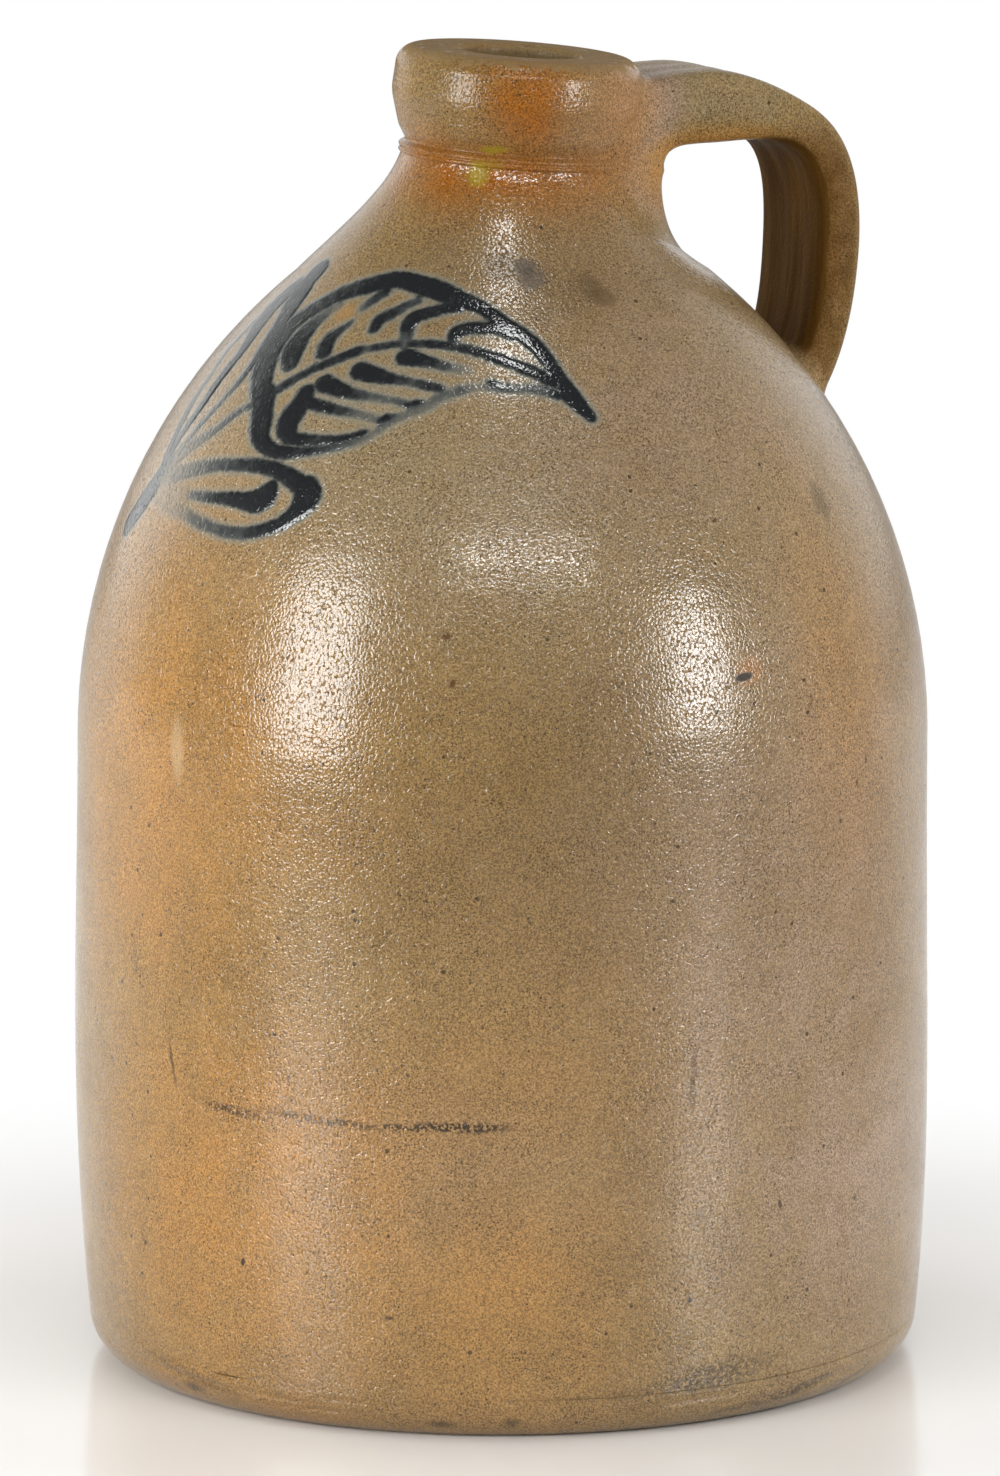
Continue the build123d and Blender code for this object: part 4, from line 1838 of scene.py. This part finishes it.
@dataclass(frozen=True)
class SaltGlaze:
    """Tan salt glaze with its orange-peel skin, kiln blushes, cobalt and bare lip."""

    name: str = "salt_glaze"
    specular: float = 0.5
    marks: tuple[Mark, ...] = SHELF_MARKS
    tan: Colour = (0.275, 0.178, 0.066)
    tan_deep: Colour = (0.215, 0.134, 0.046)
    warm: Colour = (0.390, 0.192, 0.048)
    rose: Colour = (0.312, 0.218, 0.145)
    ash: Colour = (0.250, 0.200, 0.120)
    umber: Colour = (0.175, 0.108, 0.042)
    rust: Colour = (0.270, 0.092, 0.010)
    speck: Colour = (0.052, 0.031, 0.012)
    bare: Colour = (0.208, 0.132, 0.050)
    slip: Colour = (0.150, 0.098, 0.034)
    wash: Colour = (0.058, 0.026, 0.004)
    wash_streak: Colour = (0.115, 0.054, 0.008)
    cobalt: Colour = (0.0140, 0.0152, 0.0160)
    cobalt_thin: Colour = (0.064, 0.070, 0.066)
    fume: Colour = (0.190, 0.200, 0.170)
    # Pale specks in the paint: pinholes and painted glints.
    pinhole: Colour = (0.32, 0.32, 0.30)
    roughness: float = 0.060
    matte_roughness: float = 0.70
    bare_roughness: float = 0.85
    paint_roughness: float = 0.05
    wash_roughness: float = 0.45
    slip_roughness: float = 0.75
    peel_size: float = 0.85
    peel_relief: float = -0.165
    lump_relief: float = 0.024
    pit_relief: float = -0.024
    broad_relief: float = 0.30
    comb_relief: float = 0.14
    speck_relief: float = -0.03
    pool_relief: float = 0.10
    bleed: float = 2.0

    def build(self) -> bpy.types.Material:
        """Makes the material, still empty."""
        return fresh_finish(self.name)[0]

    def dressed(self, camera: PhotoCamera, vessel: ThrownVessel) -> bpy.types.Material:
        """Makes the material and fills it.

        Args:
            camera: Camera whose pixels place the marks.
            vessel: Vessel that the marks lie on.

        Returns:
            The finished material.
        """
        made = self.build()
        self.fill(made, camera, vessel)
        return made

    def fill(self, made: bpy.types.Material, camera: PhotoCamera, vessel: ThrownVessel) -> None:
        """Builds the material's nodes.

        Args:
            made: Material to fill.
            camera: Camera whose pixels place the marks.
            vessel: Vessel that the marks lie on.
        """
        w = Wiring(made.node_tree)
        place = w.object_place(1 / MM)
        specks = self._specks(w, place)
        colour = w.blend(specks, self._clay(w, place), self.speck)
        colour, matte = self._marks(w, place, colour, camera, vessel)
        ragged = w.ramp(w.noise(place, 2.6, 3.0, 0.6), 0.3, 0.7, -0.45, 0.45)
        bare = w.ramp(w.total(w.trace(Trace.BARE), ragged), 0.35, 0.8)
        colour = w.blend(w.product(bare, 0.72), colour, self.bare)
        rim = w.product(bare, w.less(1.0, bare), 1.8)
        colour = w.blend(rim, colour, self.umber)
        slip = w.trace(Trace.SLIP)
        colour = w.blend(slip, colour, self.slip)
        colour, wash = self._wash(w, place, colour)
        colour, paint, pool = self._paint(w, place, colour)

        # Gloss: the paint is glassy, the lip and the slip are dull
        patchy = w.noise(place, 22.0, 3.0)
        rough = w.ramp(patchy, 0.3, 0.7, self.roughness - 0.03, self.roughness + 0.05)
        for share, level in (
            (matte, self.matte_roughness),
            (w.product(bare, 0.9), self.bare_roughness),
            (w.product(paint, 0.75), self.paint_roughness),
            (wash, self.wash_roughness),
            (slip, self.slip_roughness),
        ):
            rough = w.blend(share, rough, (level,) * 3)
        skin = w.product(self._skin(w, place), w.ramp(paint, 0.0, 1.0, 1.0, 0.5))
        height = w.total(skin, w.product(specks, self.speck_relief), w.product(pool, self.pool_relief))
        shader = w.surface(
            base_color=colour,
            roughness=rough,
            specular_ior_level=self.specular,
            normal=w.bump(w.total(height, self._waves(w, place)), 1.0, MM),
        )
        w.node("ShaderNodeOutputMaterial", [shader])

    def _skin(self, w: Wiring, place: Socket) -> Socket:
        """Height of the orange peel: close rounded dimples, fine lumps and pits.

        Args:
            w: Wiring of the material.
            place: Place on the jug, in millimetres.

        Returns:
            The height, in millimetres.
        """
        feeds = {"Vector": place, "Scale": 1 / self.peel_size, "Smoothness": 0.2}
        peel = w.node("ShaderNodeTexVoronoi", feeds, feature="SMOOTH_F1").outputs["Distance"]
        lumps = w.noise(place, 0.55, 1.0, 0.4)
        pits = w.ramp(w.noise(place, 0.65, 1.0, 0.5), 0.58, 0.70)
        return w.total(
            w.product(peel, peel, peel, peel, self.peel_relief),
            w.product(lumps, self.lump_relief),
            w.product(pits, self.pit_relief),
        )

    def _waves(self, w: Wiring, place: Socket) -> Socket:
        """Height of the broad waves of the glaze and the combing round the collar.

        Args:
            w: Wiring of the material.
            place: Place on the jug, in millimetres.

        Returns:
            The height, in millimetres.
        """
        combing = w.noise(w.vector("MULTIPLY", place, (0.04, 0.04, 1.0)), 0.75, 1.0)
        combing = w.product(combing, w.trace(Trace.COMB), self.comb_relief)
        return w.total(w.product(w.noise(place, 26.0, 2.0), self.broad_relief), combing)

    def _clay(self, w: Wiring, place: Socket) -> Socket:
        """Tan clay with the kiln's blushes and its fine salt grain.

        Args:
            w: Wiring of the material.
            place: Place on the jug, in millimetres.

        Returns:
            The colour.
        """
        cloud = w.noise(place, 34.0, 4.0, 0.6)
        colour = w.blend(w.ramp(cloud, 0.36, 0.66), self.tan_deep, self.tan)
        colour = w.blend(w.ramp(w.noise(place, 6.5, 4.0, 0.65), 0.34, 0.60, 0.42, 0.0), colour, self.umber)
        colour = w.blend(w.ramp(w.noise(place, 4.5, 4.0, 0.70), 0.52, 0.70, 0.0, 0.40), colour, self.ash)
        warp = w.ramp(w.noise(place, 18.0, 4.0, 0.65), 0.2, 0.8, 0.55, 1.3)
        for kind, tint in (
            (Blush.UMBER, self.umber),
            (Blush.ASH, self.ash),
            (Blush.ROSE, self.rose),
            (Blush.WARM, self.warm),
            (Blush.RUST, self.rust),
        ):
            level = w.math("MULTIPLY", w.trace(kind), warp, clamp=True)
            colour = w.blend(level, colour, tint)
        dark = w.ramp(w.noise(place, 0.52, 2.0, 0.8), 0.38, 0.62, 0.58, 1.26)
        colour = w.blend(1.0, colour, w.combine(dark, dark, dark), "MULTIPLY")
        pepper = w.ramp(w.noise(place, 0.5, 1.0, 0.5), 0.575, 0.66)
        thick = w.ramp(w.noise(place, 14.0, 2.0), 0.35, 0.65, 0.35, 0.85)
        return w.blend(w.product(pepper, thick), colour, self.speck)

    def _specks(self, w: Wiring, place: Socket) -> Socket:
        """Scattered iron specks, a few of them large.

        Args:
            w: Wiring of the material.
            place: Place on the jug, in millimetres.

        Returns:
            How strongly a speck shows.
        """
        spots = []
        for size, radius, share in ((2.6, 0.14, 0.30), (6.0, 0.11, 0.32)):
            dots = w.node("ShaderNodeTexVoronoi", {"Vector": place, "Scale": 1 / size})
            chosen = w.math("LESS_THAN", w.parts(dots.outputs["Color"])[0], share)
            spots.append(w.product(w.ramp(dots.outputs["Distance"], radius, radius * 0.75), chosen, 0.92))
        return w.math("MAXIMUM", *spots)

    def _marks(
        self, w: Wiring, place: Socket, colour: Socket, camera: PhotoCamera, vessel: ThrownVessel
    ) -> tuple[Socket, Feed]:
        """Lays the marks of the kiln shelf and of use over the clay.

        Args:
            w: Wiring of the material.
            place: Place on the jug, in millimetres.
            colour: Colour of the clay.
            camera: Camera whose pixels place the marks.
            vessel: Vessel that the marks lie on.

        Returns:
            The marked colour, and how matt the marks leave the glaze.
        """
        matte: Feed = 0.0
        feeds = {"Vector": place, "Scale": 0.55, "Detail": 2.0}
        ragged = w.node("ShaderNodeTexNoise", feeds).outputs["Color"]
        shift = w.vector("MULTIPLY", w.vector("SUBTRACT", ragged, (0.5,) * 3), (1.6,) * 3)
        wobbly = w.vector("ADD", place, shift)
        grit = w.ramp(w.noise(place, 0.9, 1.0, 0.5), 0.41, 0.52)
        for mark in self.marks:
            frame = mark.frame(camera, vessel)
            size = Vector((mark.half_width, mark.half_height, mark.depth))
            feeds = [place if mark.soft < 0.5 else wobbly, frame.translation, frame.to_euler(), size]
            local = w.node("ShaderNodeMapping", feeds, vector_type="TEXTURE").outputs[0]
            far = w.measure("LENGTH", local)
            level = w.ramp(far, 1.0 + 0.3 * mark.soft, 1.0 - mark.soft, 0.0, mark.strength)
            if mark.grit:
                level = w.product(level, grit)
            colour = w.blend(level, colour, mark.colour)
            if mark.matte:
                matte = w.math("MAXIMUM", matte, w.product(level, mark.matte))
        return colour, matte

    def _wash(self, w: Wiring, place: Socket, colour: Socket) -> tuple[Socket, Socket]:
        """Dark iron wash with lengthwise streaks inside the handle, which on the upright strap's flanks is
        partly painted shade.

        Args:
            w: Wiring of the material.
            place: Place on the jug, in millimetres.
            colour: Colour under the wash.

        Returns:
            The washed colour, and the wash's level.
        """
        strip = w.combine(w.product(w.trace(Trace.ALONG), 0.06), w.trace(Trace.ACROSS), 0.0)
        streaks = w.noise(strip, 2.4, 3.0, 0.6)
        tint = w.blend(w.ramp(streaks, 0.34, 0.80), self.wash, self.wash_streak)
        edge = w.ramp(w.noise(place, 5.0, 2.0), 0.2, 0.8, -0.1, 0.1)
        level = w.ramp(w.total(w.trace(Trace.WASH), edge), 0.25, 0.75)
        return w.blend(w.product(level, 0.94), colour, tint), level

    def _paint(self, w: Wiring, place: Socket, colour: Socket) -> tuple[Socket, Socket, Socket]:
        """Cobalt, black where it pools and grey-blue where it thins and bleeds, with pale specks that are
        pinholes and painted glints.

        Args:
            w: Wiring of the material.
            place: Place on the jug, in millimetres.
            colour: Colour under the paint.

        Returns:
            The painted colour, the paint's cover and the height of its pool.
        """
        inside = w.less(w.trace(Trace.COBALT), self.bleed)
        ragged = w.ramp(w.noise(place, 1.5, 2.0, 0.6), 0.25, 0.75, -0.22, 0.22)
        inside = w.total(inside, ragged)
        laid = w.trace(Trace.LOAD)
        patchy = w.ramp(w.noise(place, 2.6, 3.0, 0.65), 0.3, 0.7, 0.82, 1.10)
        load = w.product(laid, patchy, w.ramp(inside, -0.9, 0.9, 0.35, 1.0))
        cover = w.product(w.ramp(inside, -0.85, 0.25), w.ramp(load, 0.0, 0.6, 0.06, 1.0))
        tone = w.blend(w.ramp(load, 0.38, 0.92), self.cobalt_thin, self.cobalt)
        halo = w.product(w.ramp(inside, -2.1, 0.0), w.ramp(laid, 0.0, 0.7, 0.22, 0.62))
        colour = w.blend(cover, w.blend(halo, colour, self.fume), tone)
        body = w.product(cover, w.ramp(load, 0.35, 0.9))
        # Pale specks in the pooled paint: pinholes, and painted glints of light.
        dots = w.node("ShaderNodeTexVoronoi", {"Vector": place, "Scale": 0.30})
        chosen = w.math("LESS_THAN", w.parts(dots.outputs["Color"])[1], 0.4)
        star = w.product(w.ramp(dots.outputs["Distance"], 0.09, 0.04), chosen, body, 0.5)
        return w.blend(star, colour, self.pinhole), body, w.ramp(inside, -0.4, 1.0)


JUG_GLAZE = SaltGlaze()
DRY_GLAZE = SaltGlaze(
    name="dry_glaze",
    specular=0.24,
    tan=(0.255, 0.153, 0.045),
    tan_deep=(0.200, 0.117, 0.033),
)
HANDLE_GLAZE = SaltGlaze(name="handle_glaze", specular=0.02, roughness=0.20, marks=())


@dataclass(frozen=True)
class BrownSlip:
    """Dark brown slip poured round the inside."""

    deep: Colour = (0.060, 0.030, 0.010)
    thin: Colour = (0.150, 0.082, 0.030)
    roughness: float = 0.28

    def build(self) -> bpy.types.Material:
        """Makes the slip's material.

        Returns:
            The material.
        """
        made, w = fresh_finish("brown_slip")
        place = w.object_place(1 / MM)
        runs = w.noise(w.vector("MULTIPLY", place, (1.0, 1.0, 0.12)), 7.0, 3.0, 0.6)
        colour = w.blend(w.ramp(runs, 0.3, 0.7), self.deep, self.thin)
        relief = w.bump(w.noise(place, 3.0, 2.0), 0.6, 0.3 * MM)
        shader = w.surface(base_color=colour, roughness=self.roughness, normal=relief)
        w.node("ShaderNodeOutputMaterial", [shader])
        return made


class LampUse(Enum):
    """What a lamp is hung for, with the rays that it is hidden from."""

    LIGHT = "visible_glossy"
    GLINT = "visible_diffuse"


@dataclass(frozen=True)
class Softbox:
    """A soft lamp, by its direction from the jug as the camera sees it, in degrees and metres."""

    name: str
    use: LampUse
    bearing: float
    elevation: float
    distance: float
    width: float
    height: float
    radiance: float

    def build(self, camera: PhotoCamera, target: Vector) -> bpy.types.Object:
        """Hangs the lamp and turns it to the jug.

        Args:
            camera: Camera that the lamp's bearing is measured from.
            target: Place that the lamp is turned to.

        Returns:
            The lamp, which only lights the jug or only shines back from its glaze.
        """
        lamp = bpy.data.lights.new(self.name, "AREA")
        lamp.shape = "RECTANGLE"
        lamp.size, lamp.size_y = self.width, self.height
        lamp.energy = self.radiance * math.pi * self.width * self.height
        turn = camera.front + math.radians(self.bearing)
        lift = math.radians(self.elevation)
        away = Vector((math.cos(turn) * math.cos(lift), math.sin(turn) * math.cos(lift), math.sin(lift)))
        hung = bpy.data.objects.new(self.name, lamp)
        hung.location = target + away * self.distance
        hung.rotation_euler = away.to_track_quat("Z", "Y").to_euler()
        hung.visible_camera = False
        setattr(hung, self.use.value, False)
        bpy.context.scene.collection.objects.link(hung)
        return hung


SOFTBOXES = (
    Softbox("left_softbox", LampUse.LIGHT, -51.0, 12.0, 1.7, 1.17, 1.04, 6.5),
    Softbox("right_softbox", LampUse.LIGHT, 55.5, 10.5, 1.9, 1.10, 1.04, 6.1),
    Softbox("left_panel", LampUse.LIGHT, -112.0, 8.0, 1.8, 1.2, 1.2, 5.6),
    Softbox("right_panel", LampUse.LIGHT, 108.0, 8.0, 1.8, 1.2, 1.2, 4.5),
    Softbox("front_panel", LampUse.LIGHT, 5.0, 38.0, 2.0, 2.0, 0.42, 1.9),
    Softbox("overhead", LampUse.LIGHT, 12.0, 76.0, 1.8, 0.7, 0.9, 3.8),
    Softbox("left_glint", LampUse.GLINT, -52.5, 12.8, 1.62, 0.60, 0.92, 16.0),
    Softbox("right_glint", LampUse.GLINT, 54.5, 12.2, 1.82, 0.47, 0.66, 20.0),
    Softbox("front_glint", LampUse.GLINT, 5.0, 37.0, 1.92, 1.30, 0.09, 30.0),
    Softbox("top_glint", LampUse.GLINT, 8.0, 78.0, 1.72, 0.24, 0.42, 18.0),
    Softbox("left_rim", LampUse.GLINT, -133.0, 4.0, 1.72, 0.90, 0.9, 0.85),
)


def towards_camera(w: Wiring, way: Socket, camera: PhotoCamera, aside: float = 0.0) -> Socket:
    """How far a place or a direction lies towards the camera's side of the room.

    Args:
        w: Wiring of the material.
        way: The place or the direction.
        camera: The camera.
        aside: Degrees to the right of the camera's side.

    Returns:
        The distance, or the cosine of the direction's angle.
    """
    turn = camera.front + math.radians(aside)
    return w.measure("DOT_PRODUCT", way, (math.cos(turn), math.sin(turn), 0.0))


@dataclass(frozen=True)
class PaleTable:
    """Polished pale table that keeps the jug's shadow and its soft reflection, in metres."""

    colour: Colour = (0.87, 0.855, 0.83)
    fades: tuple[float, float] = (0.165, 0.33)
    ends: tuple[float, float] = (0.36, 0.58)
    back: tuple[float, float] = (-0.30, -0.05)
    turn: float = 20.0
    past: float = 0.30
    roughness: float = 0.14
    polish: float = 0.24
    polish_ends: tuple[float, float] = (0.62, 0.70)
    shine: float = 0.9

    def build(self, camera: PhotoCamera) -> bpy.types.Material:
        """Makes the table's material.

        Args:
            camera: Camera that the table's front edge faces.

        Returns:
            The material.
        """
        made, w = fresh_finish("pale_floor")
        place = w.object_place()
        away = w.measure("LENGTH", place)
        seen = w.node("ShaderNodeLightPath").outputs["Is Camera Ray"]
        unseen = w.less(1.0, seen)
        ahead = w.ramp(towards_camera(w, place, camera, self.turn), *self.back)
        beyond = w.product(w.ramp(away, *self.ends), ahead, unseen)
        polish = w.product(w.ramp(away, *self.polish_ends, self.polish, 0.0), unseen)
        shader = w.surface(
            base_color=w.blend(beyond, self.colour, (self.past,) * 3),
            roughness=self.roughness,
            specular_ior_level=w.total(polish, w.product(seen, self.shine)),
        )
        lost = w.product(w.ramp(away, *self.fades), seen)
        white = w.node("ShaderNodeEmission", {"Color": WHITE, "Strength": 1.0})
        mixed = w.node("ShaderNodeMixShader", [lost, shader, white.outputs[0]])
        w.node("ShaderNodeOutputMaterial", [mixed.outputs[0]])
        return made


@dataclass
class Studio:
    """Pale floor, white surround and soft lamps, in metres."""

    camera: PhotoCamera
    target_height: float = 0.17
    floor_size: float = 16.0
    floor_drop: float = 0.0002
    dark_room: float = 0.30
    room_turns: tuple[float, float] = (-0.75, -0.35)
    fill: float = 0.22
    ceiling: float = 0.12
    ceiling_rise: tuple[float, float] = (0.30, 0.70)

    def build(self) -> None:
        """Sets the whole studio up."""
        for box in SOFTBOXES:
            box.build(self.camera, Vector((0, 0, self.target_height)))
        self._world()
        self._floor()
        bpy.context.scene.view_settings.view_transform = "Standard"

    def _world(self) -> None:
        """White to the camera, walls with a dim ceiling in reflections, a plain fill as light."""
        world = bpy.data.worlds.new("white_surround")
        bpy.context.scene.world = world
        world.use_nodes = True
        world.node_tree.nodes.clear()
        w = Wiring(world.node_tree)
        rays = w.node("ShaderNodeLightPath").outputs
        shown = w.math("MAXIMUM", rays["Is Camera Ray"], rays["Is Transmission Ray"])
        way = w.node("ShaderNodeTexCoord").outputs["Generated"]
        ceiling = w.ramp(w.parts(way)[2], *self.ceiling_rise, 1.0, self.ceiling)
        room = w.ramp(towards_camera(w, way, self.camera), *self.room_turns, 1.0, self.dark_room)
        mirrored = w.product(rays["Is Glossy Ray"], w.less(w.product(ceiling, room), self.fill))
        strength = w.total(self.fill, w.product(shown, 1.0 - self.fill), mirrored)
        sky = w.node("ShaderNodeBackground", {"Color": WHITE, "Strength": strength})
        w.node("ShaderNodeOutputWorld", [sky.outputs[0]])

    def _floor(self) -> None:
        """Lays the table under the jug."""
        half = self.floor_size / 2
        corners = ((-half, -half), (half, -half), (half, half), (-half, half))
        mesh = bpy.data.meshes.new("studio_floor")
        mesh.from_pydata([(x, y, -self.floor_drop) for x, y in corners], [], [(0, 1, 2, 3)])
        mesh.materials.append(PaleTable(past=self.dark_room).build(self.camera))
        new_piece("studio_floor", mesh)


def line_inside(nodes: dict[str, bpy.types.Object], slip: bpy.types.Material) -> None:
    """Gives the frame's own lining its slip finish.

    Args:
        nodes: Objects of the frame's solids, by name.
        slip: The finish.
    """
    lining = nodes["slip_lining"]
    lining.data.materials.clear()
    lining.data.materials.append(slip)
    LOG.info("slip_lining: kept from the frame")


def main() -> None:
    """Builds the jug round its frame, paints it and lights it."""
    logging.basicConfig(level=logging.INFO, format="%(name)s: %(message)s")
    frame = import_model()
    camera = PhotoCamera()
    camera.build()
    coat = JUG_GLAZE.build()
    vessel = ThrownVessel(JugSizes.from_frame(), camera, coat)
    JUG_GLAZE.fill(coat, camera, vessel)
    vessel.build_floor()
    vessel.build_wall()
    shoulder = vessel.build_shoulder()
    throat = vessel.build_throat()
    vessel.build_collar(DRY_GLAZE.dressed(camera, vessel))
    CobaltLeaf(camera, vessel).paint(shoulder, throat)
    StrapHandle(vessel).build(HANDLE_GLAZE.dressed(camera, vessel))
    line_inside(frame["nodes"], BrownSlip().build())
    Studio(camera).build()


if __name__ == "__main__":
    main()
